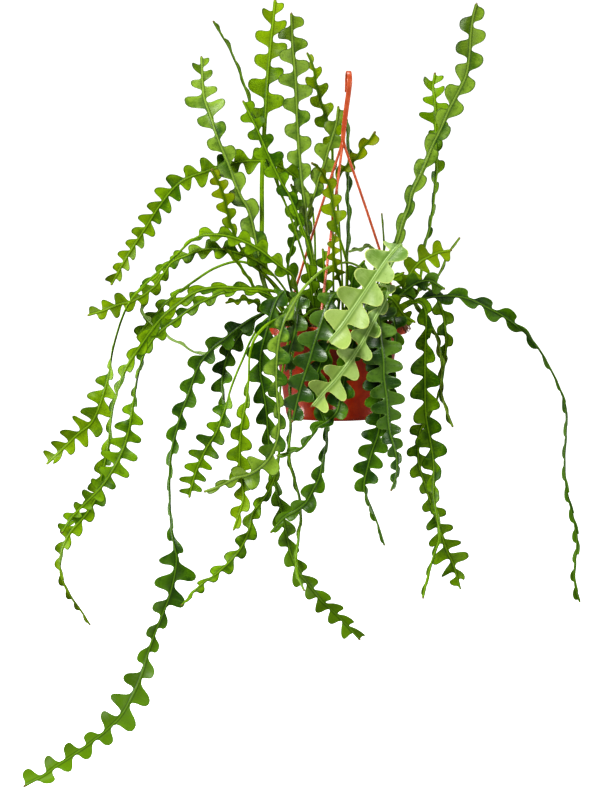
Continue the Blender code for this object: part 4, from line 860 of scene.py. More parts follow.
# %% The upright stems
UP = {
    "stem_up_1": dict(root=(-48, 27), pitch=(32, 23), stalk=232, core=(3, 1.8), tone="bright",
        half=(14, 17, 19, 18, 17, 14, 10), route=[
        (-60, 29, 22, 60), (-74, 30, 42, 25), (-79, 30, 70, 15), (-78, 30, 110, 15),
        (-78, 30, 150, 15), (-77, 30, 183, 10), (-75, 29, 213), (-73, 34, 247), (-70, 46, 283),
        (-67, 60, 313), (-64, 78, 342)]),
    "stem_up_2": dict(root=(-16, 30), pitch=(33, 25), stalk=92, core=(2.6, 1.6), tone="grey",
        half=(4, 5, 7, 10, 13, 15, 16, 17, 16, 11), route=[
        (-20, 24, 30, 60), (-25, 18, 60, 50), (-30, 14, 97, 30), (-34, 14, 137, 10), (-36, 14, 150),
        (-39, 14, 186), (-41, 9, 223), (-43, -1, 265), (-46, -13, 301), (-47, -28, 328)]),
    "stem_up_3": dict(root=(-24, 40), pitch=(32, 27), stalk=150, core=(2, 1.4), tone="mid",
        half=(3.5, 4, 4, 3), route=[
        (-28, 34, 50, 60), (-42, 22, 100, 55), (-57, 14, 140, 55), (-73, 12, 178, 55),
        (-86, 12, 217, 55), (-92, 12, 241, 50), (-101, 6, 268, 50), (-113, -4, 295, 50),
        (-121, -17, 308, 50), (-128, -33, 320, 50)]),
    "stem_up_4": dict(root=(-12, 14), pitch=(27, 18), stalk=60, tone="mid",
        half=(3, 4, 4, 5, 8, 13, 14, 13, 8), route=[
        (-16, 4, 22, 20), (-21, -4, 45, 15), (-28, -6, 84, 5), (-36, -6, 107), (-48, -6, 137),
        (-59, -6, 156), (-72, -6, 184), (-84, -6, 211), (-90, -6, 223), (-97, -6, 237)]),
    "stem_up_5": dict(root=(-52, 20), pitch=(38, 15), stalk=75, core=(2.2, 1.6), tone="grey",
        half=(5, 9, 12, 14, 12, 13, 14, 20, 13, 7), route=[
        (-66, 21, 24, 50), (-78, 21, 52, 30), (-82, 20, 79, 10), (-86, 20, 101), (-92, 20, 124),
        (-100, 20, 138), (-106, 20, 152), (-114, 20, 174), (-124, 20, 199), (-132, 26, 223),
        (-138, 36, 240), (-140, 49, 260), (-141, 65, 283)]),
    "stem_up_6": dict(root=(-2, 38), pitch=(24, 20), stalk=200, tone="olive",
        half=(6, 12, 13, 12, 8, 4), route=[
        (-3, 38, 60, 60), (-4, 38, 120, 30), (-4, 38, 160), (-5, 38, 203), (-11, 40, 222),
        (-16, 45, 237), (-21, 53, 255), (-24, 64, 273), (-30, 77, 287, 10)]),
    "stem_up_7": dict(root=(-10, 44), pitch=(28, 23), stalk=110, tone="grey",
        half=(3, 4, 6, 11, 14, 14, 8), route=[
        (-17, 43, 40, 60), (-25, 37, 80, 40), (-31, 31, 113, 10), (-27, 27, 128), (-22, 23, 143),
        (-18, 20, 158), (-12, 16, 174), (-8, 14, 188), (-4, 12, 201), (0, 12, 215), (2, 12, 231, 10)]),
    "stem_up_8": dict(root=(8, 14), pitch=(19, 16), stalk=172, tone="olive",
        half=(4, 8, 9, 8), route=[
        (6, 16, 60, 60), (3, 19, 110, 40), (1, 20, 150, 10), (6, 20, 165), (14, 20, 173),
        (21, 20, 178), (27, 20, 189), (34, 20, 196), (40, 20, 205, 10)]),
    "stem_up_9": dict(root=(12, 27), pitch=(30, 25), stalk=75, core=(2, 1.6), tone="dark",
        half=(3, 4, 5, 5, 4), route=[
        (11, 30, 40, 50), (12, 34, 91, 40), (13, 35, 106, 40), (12, 35, 150, 40), (13, 35, 180, 40),
        (11, 35, 218, 40)]),
    "stem_up_10": dict(root=(8, -14), pitch=(19, 17), stalk=128, tone="olive",
        half=(6, 12, 12, 9, 3, 2), route=[
        (10, -24, 20, 60), (12, -38, 48, 50), (11, -46, 70, 30), (7, -46, 84, 10), (2, -43, 99),
        (-1, -41, 114), (-4, -38, 130), (-6, -36, 145), (-11, -41, 157), (-17, -51, 167),
        (-25, -64, 173)]),
    "stem_up_11": dict(root=(6, -30), pitch=(14, 11), stalk=78, tone="olive",
        half=(6, 8, 8, 5), route=[
        (7, -35, 22, 20), (6, -43, 37, 10), (4, -54, 49), (1, -66, 59), (-2, -73, 72),
        (-3, -74, 85), (-1, -73, 98)]),
    "stem_up_12": dict(root=(-32, 48), pitch=(19, 16), stalk=85, tone="dark",
        half=(3, 5, 10, 10, 5), route=[
        (-44, 50, 30, 40), (-51, 50, 60, 30), (-48, 50, 80, 10), (-44, 50, 95), (-42, 50, 109),
        (-44, 50, 121), (-42, 50, 134), (-47, 50, 150)]),
}
print("the upright stems:", len(UP))

# %% The stems on the right
RIGHT = {
    "stem_right_1": dict(root=(36, 30), pitch=(34, 25), stalk=85, core=(4, 1.8), tone="grey",
        half=(5, 6, 7, 9, 10, 12, 13, 15, 15, 10), route=[
        (46, 28, 40, 50), (57, 22, 75, 40), (65, 18, 95, 15), (70, 18, 112), (76, 18, 127),
        (79, 18, 142), (88, 18, 161), (95, 18, 177), (101, 18, 192), (110, 16, 210), (118, 14, 229),
        (128, 10, 248), (136, 6, 266), (139, 1, 285), (140, -5, 303), (142, -11, 322),
        (146, -17, 338, 20)]),
    "stem_right_2": dict(root=(49, 29), pitch=(26, 18), stalk=110, core=(2.6, 1.4), tone="mid",
        half=(3, 4, 5, 5, 10, 7, 17, 13, 8), route=[
        (68, 31, 24, 55), (84, 32, 34, 50), (89, 34, 55, 50), (93, 36, 88, 50), (98, 37, 106, 45),
        (101, 37, 125, 45), (103, 37, 145, 40), (105, 35, 165, 30), (105, 36, 185), (104, 41, 205),
        (104, 48, 220), (103, 56, 240), (101, 66, 252), (103, 77, 266)]),
    "stem_right_3": dict(root=(28, 12), pitch=(32, 26), stalk=80, tone="dark",
        half=(2, 2.5, 2), route=[
        (40, 8, 36, 60), (48, 4, 64, 60), (50, 2, 88, 60), (48, 0, 119, 60)]),
    "stem_right_4": dict(root=(54, -16), pitch=(27, 23), stalk=60, tone="dark",
        half=(6, 9, 12, 14, 16, 15, 15, 12, 8, 3, 3, 3, 2.5), route=[
        (68, -22, 22, 40), (80, -28, 27, 30), (90, -32, 26, 10), (95, -32, 14, 20),
        (95, -32, -8, 50), (94, -32, -31, 15), (94, -32, -61), (95, -32, -91), (99, -32, -115),
        (103, -35, -139), (104, -40, -157, 30), (104, -47, -177, 45), (108, -55, -203, 50),
        (110, -64, -222, 50), (104, -74, -243, 50), (98, -85, -264, 50), (93, -97, -286, 50)]),
    "stem_right_5": dict(root=(30, 42), pitch=(25, 18), stalk=110, tone="mid",
        half=(5, 10, 10, 7, 5, 9, 13, 12, 8, 12, 18, 18, 9), route=[
        (50, 40, 34, 60), (72, 42, 46, 60), (92, 42, 44, 40), (105, 38, 34, 10), (112, 32, 18),
        (115, 26, 0), (116, 22, -20, 30), (114, 20, -40, 80), (112, 20, -55, 85),
        (107, 20, -74, 85), (99, 20, -92, 80), (90, 18, -108, 40), (87, 18, -125), (88, 19, -145),
        (93, 22, -162), (99, 25, -180), (107, 29, -205), (113, 34, -222), (118, 39, -237),
        (125, 44, -252), (132, 50, -276, 50)]),
    "stem_right_6": dict(root=(42, -8), pitch=(26, 21), stalk=60, tone="grey",
        half=(3.5, 4.5, 4.5, 3), route=[
        (56, -12, 26, 50), (68, -16, 35, 40), (79, -16, 31, 35), (92, -16, 15, 35),
        (104, -14, -4, 35), (110, -12, -26, 35), (112, -12, -46, 35), (111, -12, -64, 35),
        (115, -12, -82, 35), (123, -12, -103, 35)]),
    "stem_right_7": dict(root=(57, 0), pitch=(28, 24), stalk=62, tone="mid",
        half=(6, 9, 10, 12, 11, 8, 5, 4, 4, 5, 6, 5, 4, 4), route=[
        (68, 1, 18, 50), (84, 4, 28, 20), (100, 6, 33), (121, 8, 34), (140, 10, 31), (159, 12, 22),
        (176, 12, 13, 20), (194, 14, 0, 60), (211, 18, -18, 80), (224, 23, -39, 80),
        (235, 29, -61, 80), (243, 36, -85, 60), (243, 43, -115, 60), (242, 52, -141, 60),
        (244, 60, -169, 60), (251, 70, -198, 50), (256, 79, -225, 40), (254, 90, -250, 50),
        (254, 101, -271, 60), (259, 112, -290, 40)]),
    "stem_right_8": dict(root=(40, 10), pitch=(32, 26), stalk=90, tone="grey",
        half=(2, 2, 2), route=[
        (58, 14, 28, 30), (78, 16, 36, 30), (90, 16, 41, 30), (99, 15, 47, 30), (107, 14, 55, 30),
        (112, 14, 65, 30), (118, 14, 79, 30), (129, 14, 94, 30)]),
    "stem_right_9": dict(root=(56, 13), pitch=(19, 14), stalk=45, tone="olive",
        half=(7, 14, 16, 15, 12), route=[
        (63, 8, 20, 30), (68, 6, 33, 15), (73, 6, 46, 5), (79, 6, 59), (87, 6, 69), (97, 6, 75),
        (109, 6, 80), (120, 6, 82)]),
    "stem_right_10": dict(root=(36, -19), pitch=(12, 10), stalk=45, tone="bright",
        half=(6, 9, 9, 7), route=[
        (46, -32, 24, 20), (54, -42, 33, 10), (60, -46, 30), (66, -48, 22), (72, -50, 14),
        (82, -51, 7)]),
    "stem_right_11": dict(root=(46, 1), pitch=(22, 18), stalk=50, tone="dark",
        half=(6, 11, 12, 9), route=[
        (58, -5, 26, 30), (72, -8, 39, 10), (86, -8, 48), (99, -8, 50), (113, -8, 42)]),
}
print("the stems on the right:", len(RIGHT))

# %% The stems that hang in front of the pot
FRONT = {
    "stem_front_1": dict(root=(30, -22), pitch=(29, 26), stalk=120, tone="pale", bends="front",
        half=(10, 18, 20, 21, 22, 23, 20), route=[
        (42, -26, 34), (58, -36, 66), (68, -50, 86), (66, -64, 87), (54, -78, 73), (41, -94, 54),
        (29, -104, 36), (17.5, -110, 19), (5, -115, 1), (-8, -117, -14)]),
    "stem_front_2": dict(root=(24, -36), pitch=(27, 21), stalk=70, tone="pale", bends="front",
        half=(5, 7, 7, 11, 16, 19, 19, 15), route=[
        (34, -48, 28), (47, -64, 44), (55, -80, 42), (51, -93, 28), (40, -100, 8), (31, -102, -9),
        (18, -103, -30), (0, -104, -54), (-12, -104, -67), (-25, -104, -82)]),
    "stem_front_3": dict(root=(20, -26), pitch=(25, 21), stalk=175, tone="bright", bends="front",
        half=(3, 5, 11, 14, 11, 6, 7, 17, 16, 8, 3), route=[
        (28, -34, 36), (28, -44, 60), (14, -54, 69), (0, -60, 67), (-14, -65, 61), (-27, -76, 50),
        (-38, -88, 37), (-47, -95, 22), (-55, -99, 6), (-61, -101, -18), (-63, -101, -50),
        (-62, -100, -75), (-60, -100, -96), (-62, -100, -117), (-71, -100, -138), (-83, -100, -150),
        (-95, -100, -156), (-107, -100, -159), (-122, -100, -167), (-138, -100, -173)]),
    "stem_front_4": dict(root=(-1, -42), pitch=(27, 22), stalk=50, tone="grey", bends="front",
        half=(8, 12, 14, 17, 17, 15, 10), route=[
        (3, -54, 26), (3, -68, 38), (-4, -81, 33), (-11, -88, 18), (-18, -91, -2), (-24, -92, -20),
        (-30, -92, -40), (-37, -92, -62), (-46, -92, -98)]),
    "stem_front_5": dict(root=(-18, -40), pitch=(24, 19), stalk=62, tone="grey", bends="front",
        half=(6, 12, 14, 13, 8), route=[
        (-27, -52, 25), (-36, -66, 35), (-41, -79, 26), (-42, -85, 10), (-44, -86, -6),
        (-49, -86, -25), (-53, -86, -44)]),
    "stem_front_6": dict(root=(38, -33), pitch=(20, 13), stalk=66, tone="dark", bends="front",
        half=(9, 17, 20, 20, 19, 17, 14, 9, 7, 4), route=[
        (42, -50, 22), (44, -72, 22), (45, -88, 8), (47, -93, -12), (50, -95, -32), (51, -95, -53),
        (54, -95, -76), (55, -96, -93), (57, -97, -110), (62, -98, -127), (65, -99, -143, 30),
        (64, -99, -157, 50), (59, -99, -171, 40)]),
    "stem_front_7": dict(root=(34, -46), pitch=(20, 16), stalk=62, tone="dark", bends="front",
        half=(8, 13, 16, 17, 17, 16, 16, 14, 5, 3, 2), route=[
        (38, -58, 14), (42, -72, 13), (43, -82, 2), (45, -84, -30), (46, -84, -55), (47, -84, -85),
        (45, -84, -110), (38, -84, -131), (33, -84, -150), (30, -84, -166, 10), (32, -84, -177, 50),
        (38, -84, -192, 75), (45, -84, -210, 80), (51, -84, -229, 80)]),
    "stem_front_8": dict(root=(-3, -57), pitch=(24, 19), stalk=50, tone="dark", bends="front",
        half=(8, 12, 13, 13, 11, 7, 4, 6, 11, 11, 8, 5), route=[
        (-2, -70, 15), (-1, -80, 8), (-6, -83, -14), (-16, -83, -36), (-22, -83, -60),
        (-17, -83, -85, 20), (-10, -80, -104, 50), (-10, -78, -123, 50), (-14, -78, -143, 50),
        (-17, -78, -157, 30), (-24, -77, -171), (-32, -76, -185), (-43, -76, -194),
        (-55, -76, -201), (-68, -76, -216, 20)]),
    "stem_front_9": dict(root=(14, -55), pitch=(23, 18), stalk=50, tone="dark", bends="front",
        half=(8, 12, 13, 14, 14, 12, 8, 6, 4), route=[
        (17, -69, 15), (20, -82, 8), (18, -89, -15), (11, -91, -45), (5, -92, -70),
        (1, -95, -88, 10), (-8, -96, -98, 30), (-19, -97, -105, 50), (-27, -97, -116, 60),
        (-35, -97, -126, 60), (-47, -97, -131, 40), (-61, -97, -135, 20)]),
}
print("the stems that hang in front of the pot:", len(FRONT))

# %% The long low stems
LOW = {
    "stem_low_1": dict(root=(-55, -15), pitch=(25, 28), stalk=60, tone="mid",
        half=(8, 11, 13, 12, 12, 10, 7, 3.5, 3.5, 9, 21, 19, 8, 9, 16, 20, 20, 9, 15, 13, 12), route=[
        (-66, -20, 17, 40), (-83, -22, 13, 10), (-101, -22, 2), (-117, -22, -11), (-134, -22, -25),
        (-146, -22, -42, 5), (-155, -22, -68, 15), (-163, -22, -89, 15), (-169, -22, -110, 10),
        (-174, -22, -132, 30), (-176, -22, -156, 45), (-176, -22, -181, 50), (-175, -22, -205, 50),
        (-172, -22, -226, 40), (-169, -22, -243, 5), (-171, -22, -262), (-176, -22, -283),
        (-183, -22, -302), (-192, -22, -324), (-201, -25, -350), (-208, -32, -373),
        (-219, -40, -397), (-230, -50, -415), (-244, -61, -429), (-260, -73, -442),
        (-278, -86, -455, 10), (-296, -101, -467, 20), (-311, -116, -478, 20),
        (-332, -132, -490, 30)]),
    "stem_low_2": dict(root=(-46, -32), pitch=(20, 10), stalk=150, tone="mid",
        half=(9, 13, 15, 15, 11), route=[
        (-56, -42, 15, 60), (-68, -52, 13, 70), (-79, -58, 4, 70), (-90, -60, -13, 70),
        (-98, -60, -32, 75), (-105, -60, -48, 75), (-112, -60, -67, 75), (-116, -60, -83, 50),
        (-120, -60, -94, 25), (-127, -60, -111, 5), (-137, -60, -127), (-145, -60, -144),
        (-151, -60, -161), (-155, -60, -178, 20)]),
    "stem_low_3": dict(root=(-58, 3), pitch=(22, 18), stalk=60, tone="dark",
        half=(7, 11, 12, 11, 7), route=[
        (-67, 2, 17, 50), (-81, 0, 12, 20), (-98, -2, -4), (-112, -2, -23), (-118, -2, -42),
        (-120, -2, -60, 40), (-117, -2, -86, 60)]),
    "stem_low_4": dict(root=(-27, -49), pitch=(24, 19), stalk=150, tone="bright", bends="front",
        half=(3, 6, 12, 13, 11, 7), route=[
        (-38, -64, 15), (-52, -78, 13), (-71, -88, 5), (-85, -91, -10, 20), (-91, -90, -28, 60),
        (-92, -90, -50, 70), (-94, -90, -74, 40), (-98, -90, -93, 15), (-101, -90, -113),
        (-102, -90, -131), (-102, -90, -149, 5), (-99, -90, -166, 10), (-98, -90, -182, 30),
        (-108, -90, -213, 30)]),
    "stem_low_5": dict(root=(-38, -41), pitch=(24, 20), stalk=56, tone="dark", bends="front",
        half=(8, 12, 14, 14, 13, 12, 9, 5, 7, 11, 11, 10, 12, 13, 13, 9), route=[
        (-46, -50, 28), (-53, -57, 39), (-63, -65, 29), (-71, -71, 4), (-79, -73, -25),
        (-80, -73, -46), (-77, -72, -65), (-74, -70, -85), (-72, -68, -108), (-70, -65, -132, 10),
        (-67, -62, -152, 30), (-63, -60, -171, 20), (-58, -60, -193), (-53, -60, -216),
        (-48, -60, -239), (-40, -60, -258), (-27, -57, -275), (-15, -52, -290), (-5, -45, -299),
        (8, -37, -312), (25, -28, -331)]),
    "stem_low_6": dict(root=(-17, -54), pitch=(28, 24), stalk=60, core=(2, 1.6), tone="mid",
        bends="front",
        half=(2.5, 3, 4, 4, 4, 4, 3), route=[
        (-27, -63, 15), (-38, -69, 8, 20), (-45, -70, -20, 50), (-48, -70, -60, 50),
        (-48, -70, -110, 50), (-50, -68, -131, 45), (-46, -67, -153, 40), (-40, -66, -173, 50),
        (-37, -66, -194, 50), (-39, -66, -218, 50), (-42, -73, -244, 50), (-41, -85, -261, 40),
        (-34, -101, -278, 60)]),
    "stem_low_7": dict(root=(-10, -50), pitch=(22, 19), stalk=215, tone="mid", bends="front",
        half=(4, 5, 10, 10, 8, 6), route=[
        (-20, -66, 20), (-34, -76, 12, 20), (-48, -79, -8, 60), (-57, -79, -48, 75),
        (-60, -79, -90, 75), (-60, -79, -120, 60), (-61, -79, -141, 20), (-67, -79, -164),
        (-76, -79, -180), (-87, -79, -195, 30), (-91, -79, -211, 30), (-96, -79, -225),
        (-107, -79, -242), (-125, -88, -260), (-143, -103, -273, 10), (-163, -124, -294, 50)]),
}
print("the long low stems:", len(LOW))

# %% The short stems in the middle
MID = {
    "stem_mid_1": dict(root=(-22, -8), pitch=(22, 18), stalk=28, tone="mid",
        half=(8, 12, 9), route=[
        (-24, -14, 26, 10), (-27, -18, 46), (-30, -20, 67)]),
    "stem_mid_2": dict(root=(-6, -16), pitch=(19, 16), stalk=34, tone="mid",
        half=(6, 9, 9, 6), route=[
        (-9, -24, 28, 10), (-12, -29, 50), (-13, -30, 66), (-14, -30, 82)]),
    "stem_mid_3": dict(root=(18, -4), pitch=(22, 18), stalk=26, tone="dark",
        half=(8, 12, 10), route=[
        (17, -9, 22, 10), (16, -14, 42), (19, -17, 58), (29, -20, 70)]),
    "stem_mid_4": dict(root=(30, 0), pitch=(19, 16), stalk=34, tone="mid",
        half=(6, 10, 9, 6), route=[
        (38, -5, 26, 10), (47, -10, 41), (58, -14, 52), (70, -18, 58)]),
    "stem_mid_5": dict(root=(50, -29), pitch=(22, 18), stalk=45, tone="dark", bends="front",
        half=(6, 12, 13, 10), route=[
        (55, -44, 13), (59, -58, 12), (62, -70, 1), (62, -73, -20)]),
    "stem_mid_6": dict(root=(22, 22), pitch=(17, 14), stalk=85, tone="pale",
        half=(2.5, 4, 4, 3), route=[
        (36, 24, 50, 30), (43, 24, 76, 20), (36, 24, 86), (27, 24, 84), (15, 24, 81)]),
}
print("the short stems in the middle:", len(MID))

# %% The stems behind the pot
BACK = {
    "stem_back_1": dict(root=(-14, 56), pitch=(27, 22), stalk=40, tone="mid", bends="front",
        half=(10, 15, 15, 11), route=[
        (-17, 66, 20), (-20, 80, 15), (-26, 90, -24), (-30, 92, -52), (-33, 92, -84)]),
    "stem_back_2": dict(root=(14, 54), pitch=(27, 22), stalk=40, tone="dark", bends="front",
        half=(10, 16, 16, 11), route=[
        (17, 66, 21), (20, 80, 16), (24, 90, -24), (22, 92, -52), (18, 92, -84)]),
}
print("the stems behind the pot:", len(BACK))

# %% The whole table
STEMS = {**LEFT, **UP, **RIGHT, **FRONT, **LOW, **MID, **BACK}
print("stems in the table", len(STEMS))

# %% [markdown]
# Young growth is lighter. Some stems end in a fresh yellow-green stretch, which begins at a share
# of their length and is strongest at the tip; on the three in the deep green that stretch is a painted
# shade instead, dark down their hanging ends.
# The others only lighten a little. A stem may also have another green than its entry names, its own
# pair of lobe outlines with the share of the second, and its own cupping of the lobes.

# %% Make every stem
# where the growing end's colour begins and how strong it is; on the three deep-green stems this is a
# painted shade
YOUNG_AND_SHADED_ENDS = {
    "stem_up_1": (0.72, 0.7), "stem_up_4": (0.8, 0.5), "stem_up_8": (0.6, 1.0),
    "stem_up_10": (0.55, 1.0), "stem_up_11": (0.5, 1.0), "stem_up_12": (0.55, 0.9),
    "stem_left_6": (0.75, 0.7), "stem_left_8": (0.7, 0.9), "stem_right_2": (0.6, 1.0),
    "stem_right_9": (0.3, 0.7), "stem_low_1": (0.55, 1.0), "stem_low_5": (0.4, 1.0),
    "stem_front_1": (0.5, 0.9), "stem_front_2": (0.5, 0.9), "stem_front_4": (0.35, 1.0),
    "stem_front_5": (0.45, 0.8), "stem_front_6": (0.4, 0.8),
}
USUAL_YOUNG_END = (0.75, 0.4)
OTHER_GREEN = {
    "stem_low_1": "dark", "stem_right_7": "dark", "stem_left_3": "bright", "stem_left_6": "bright",
    "stem_right_9": "bright", "stem_right_4": "mid", "stem_right_3": "olive", "stem_front_3": "grey",
    "stem_front_4": "deep", "stem_front_5": "deep", "stem_front_6": "deep",
}
FORMS = {
    "stem_front_6": ((SCALE, FAN, 0.2), 0.22), "stem_front_7": ((SCALE, FAN, 0.3), 0.38),
    "stem_front_8": ((SCALE, FAN, 0.4), 0.3), "stem_front_9": ((SCALE, FAN, 0.4), 0.3),
    "stem_low_1": ((THUMB, FAN, 0.35), 0.2), "stem_low_2": ((THUMB, FAN, 0.5), 0.2),
    "stem_low_7": ((THUMB, FAN, 0.6), -0.15), "stem_left_2": ((THUMB, FAN, 0.6), 0.2),
    "stem_left_5": ((THUMB, FAN, 0.4), 0.2), "stem_front_1": ((FAN, SCALE, 0.45), 0.3),
    "stem_front_2": ((THUMB, FAN, 0.6), 0.35), "stem_right_5": ((THUMB, EAR, 0.3), 0.25),
    "stem_up_1": ((THUMB, EAR, 0.3), 0.2), "stem_up_2": ((THUMB, EAR, 0.35), 0.2),
    "stem_up_4": ((THUMB, EAR, 0.4), 0.25), "stem_up_5": ((EAR, THUMB, 0.5), 0.22),
    "stem_up_6": ((THUMB, EAR, 0.4), 0.25), "stem_up_7": ((EAR, THUMB, 0.5), 0.25),
    "stem_right_2": ((THUMB, EAR, 0.4), 0.25),
    "stem_low_5": ((FAN, EAR, 0.2), 0.25), "stem_low_3": ((FAN, EAR, 0.3), 0.3),
    "stem_right_4": ((FAN, EAR, 0.3), 0.25), "stem_left_1": ((FAN, EAR, 0.3), 0.2),
    "stem_left_3": ((FAN, EAR, 0.2), 0.05), "stem_left_6": ((FAN, EAR, 0.4), 0.25),
}
USUAL_FORM = ((EAR, FAN, 0.35), 0.22)
triangles = 0
for name, stem in STEMS.items():
    young_and_shade_from, young_and_shade_most = YOUNG_AND_SHADED_ENDS.get(name, USUAL_YOUNG_END)
    form, cup = FORMS.get(name, USUAL_FORM)
    tone = OTHER_GREEN.get(name, stem["tone"])
    piece = weave(name + "_living", stem, tone, young_and_shade_from, young_and_shade_most, form, cup)
    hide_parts(name)
    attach(piece, "root")
    triangles += sum(len(face.vertices) - 2 for face in piece.data.polygons)
print("stems", len(STEMS), "triangles", triangles)

# %% [markdown]
# The pot is turned on a lathe in one pass: a profile runs up its inner wall, round the rim and down
# outside, and the Screw modifier carries it round the axis. Two cutters then pierce it, for the
# strand clips in the rim's ledge and for the drains in the floor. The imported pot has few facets, so
# the same profile is drawn here with rounder corners and more steps.

# %% Turn the pot
CORNER_STEPS = 4
POT_STEPS = 128


def rounded(profile, radii):
    """A profile with its corners rounded by radii in millimetres; 0 keeps a corner sharp."""
    line = []
    for i, radius in enumerate(radii):
        if not radius:
            line.append(profile[i])
            continue
        corner = Vector(profile[i])
        first, last = (corner + (Vector(profile[k]) - corner).normalized() * (radius * MM)
                       for k in (i - 1, i + 1))
        for step in range(CORNER_STEPS + 1):
            t = step / CORNER_STEPS
            point = first * (1 - t) ** 2 + corner * 2 * t * (1 - t) + last * t * t
            line.append((point.x, point.y))
    return line


def turned(name, profile, steps, material):
    """A shape turned about the pot's axis."""
    mesh = bpy.data.meshes.new(name)
    edges = [(i, i + 1) for i in range(len(profile) - 1)]
    mesh.from_pydata([(radius, 0, height) for radius, height in profile], edges, [])
    mesh.materials.append(material)
    thing = placed(name, mesh)
    screw = thing.modifiers.new("turn", "SCREW")
    screw.steps = steps
    screw.render_steps = steps
    screw.use_merge_vertices = True
    screw.merge_threshold = 1e-5
    screw.use_smooth_shade = True
    thing.location = RIM_CENTRE
    return thing


def clip_place(name):
    """Where a strand passes through the rim's ledge; angles run from the front towards +X."""
    angle = math.radians(STRAND_ANGLES[name])
    return Vector((math.sin(angle), -math.cos(angle), 0)) * STRAND_CIRCLE


def pins(name, places, radius, top, bottom, sides):
    """Upright round pins of one size in one mesh."""
    builder = bmesh.new()
    for place in places:
        middle = Matrix.Translation((place[0], place[1], (top + bottom) / 2))
        bmesh.ops.create_cone(builder, cap_ends=True, segments=sides, radius1=radius, radius2=radius,
                              depth=top - bottom, matrix=middle)
    mesh = bpy.data.meshes.new(name)
    builder.to_mesh(mesh)
    builder.free()
    thing = placed(name, mesh)
    thing.location = RIM_CENTRE
    return thing


def applied(thing):
    """Bake an object's modifiers and place into its mesh."""
    bpy.context.view_layer.update()
    finished = thing.evaluated_get(bpy.context.evaluated_depsgraph_get())
    mesh = bpy.data.meshes.new_from_object(finished)
    mesh.transform(thing.matrix_world)
    thing.modifiers.clear()
    thing.data = mesh
    thing.matrix_world = Matrix()


floor_top = BASE_HEIGHT + WALL
ledge = RIM_TOP - WALL
pot_profile = rounded(
    [(0, floor_top), (BASE_RADIUS - WALL, floor_top), (WALL_TOP_RADIUS - WALL, ledge),
     (WALL_TOP_RADIUS - WALL, RIM_TOP), (RIM_RADIUS, RIM_TOP), (RIM_RADIUS - 0.6 * MM, RIM_BOTTOM),
     (RIM_RADIUS - WALL, RIM_BOTTOM), (RIM_RADIUS - WALL, ledge), (WALL_TOP_RADIUS, ledge),
     (BASE_RADIUS, BASE_HEIGHT), (0, BASE_HEIGHT)],
    [0, 4.5, 0, 0.4, 1.0, 0.5, 0.5, 0, 0, 5, 0])
pot = turned("pot_fine", pot_profile, POT_STEPS, POT_PLASTIC)
drain_angles = [math.tau * (i + 0.5) / DRAINS for i in range(DRAINS)]
drains = [(DRAIN_CIRCLE * math.cos(angle), DRAIN_CIRCLE * math.sin(angle)) for angle in drain_angles]
clips = [clip_place(name) for name in STRAND_ANGLES]
cutters = [pins("drain_cutters", drains, DRAIN_RADIUS, floor_top + WALL, BASE_HEIGHT - WALL, 24),
           pins("clip_cutters", clips, STRAND_RADIUS + GAP, RIM_TOP + WALL, ledge - WALL / 2, 16)]
for cutter in cutters:
    cut = pot.modifiers.new("holes", "BOOLEAN")
    cut.operation = "DIFFERENCE"
    cut.object = cutter
applied(pot)
for cutter in cutters:
    bpy.data.objects.remove(cutter)
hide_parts("pot")
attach(pot, "root")
print("pot faces", len(pot.data.polygons))

# %% [markdown]
# The hanger is one moulding: a flat strap with a bent hook above, three round strands below, and a
# small clip at each strand's foot. The strap is a rounded box section carried along its middle
# line, which keeps its edges soft. It narrows at the neck, where the strands leave it. They are
# round tubes, thickest there, and they bow outwards a little on their way down to the rim.

# %% Shape the hanger
STRAP_RISE = ((7.0, 190), (7.0, 194), (7.0, 198), (7.6, 206), (8.6, 216), (9.9, 226), (11.2, 235),
              (12.8, 247))
BEND_STEPS = 24
LEG_LEAN = 1.5 * MM
NECK_WIDTH = 0.72
ROUND_SIDES = 16
STRAND_STEPS = 24
STRAND_BOW = 2.2 * MM
BOW_TURN = 0.75 * math.pi
CLIP_TOP = RIM_TOP - WALL - GAP
CLIP_STEPS = 4


def add_tube(points, faces, rings):
    """Add a tube through rings of points to a mesh in the making, closed at both ends."""
    start, size = len(points), len(rings[0])
    for ring in rings:
        points += ring
    for i in range(len(rings) - 1):
        for k in range(size):
            a, b = start + i * size + k, start + i * size + (k + 1) % size
            faces.append((a, b, b + size, a + size))
    faces.append(tuple(range(start, start + size))[::-1])
    faces.append(tuple(range(len(points) - size, len(points))))


def sweep(points, faces, route, across_at, section_at):
    """Add a section carried along a route, measured from the rim's middle."""
    rings = []
    for i, place in enumerate(route):
        along = direction(route, i)
        across = across_at(along).normalized()
        through = along.cross(across)
        section = section_at(i / (len(route) - 1))
        rings.append([place + across * u + through * v + RIM_CENTRE for u, v in section])
    add_tube(points, faces, rings)


def strap_line():
    """The strap's middle line: up from the neck, round the hook's bend and down its short leg."""
    outward = Vector((-math.sin(HOOK_TURN), math.cos(HOOK_TURN), 0))
    line = [Vector((side, 0, up)) * MM for side, up in STRAP_RISE] + [HOOK_FOOT]
    for i in range(1, BEND_STEPS + 1):
        angle = math.pi * i / BEND_STEPS
        lift = Vector((0, 0, HOOK_RADIUS * math.sin(angle)))
        line.append(HOOK_CENTRE - outward * HOOK_RADIUS * math.cos(angle) + lift)
    tip = line[-1] - Vector((0, 0, HOOK_LEG)) + outward * LEG_LEAN
    return line + [line[-1].lerp(tip, 0.5), tip]


def strand_line(foot):
    """A strand's middle line: in a slight bow from the neck to the rim, then through its ledge."""
    entry = foot + Vector((0, 0, RIM_TOP + 4 * MM))
    outward = foot.normalized()
    line = []
    for k in range(STRAND_STEPS + 1):
        t = k / STRAND_STEPS
        straight = STRAND_HEAD + (entry - STRAND_HEAD) * t * 0.97
        line.append(straight + outward * STRAND_BOW * math.sin(BOW_TURN * t))
    return line + [foot + Vector((0, 0, RIM_TOP + 1 * MM)), foot + Vector((0, 0, CLIP_TOP - 1 * MM))]


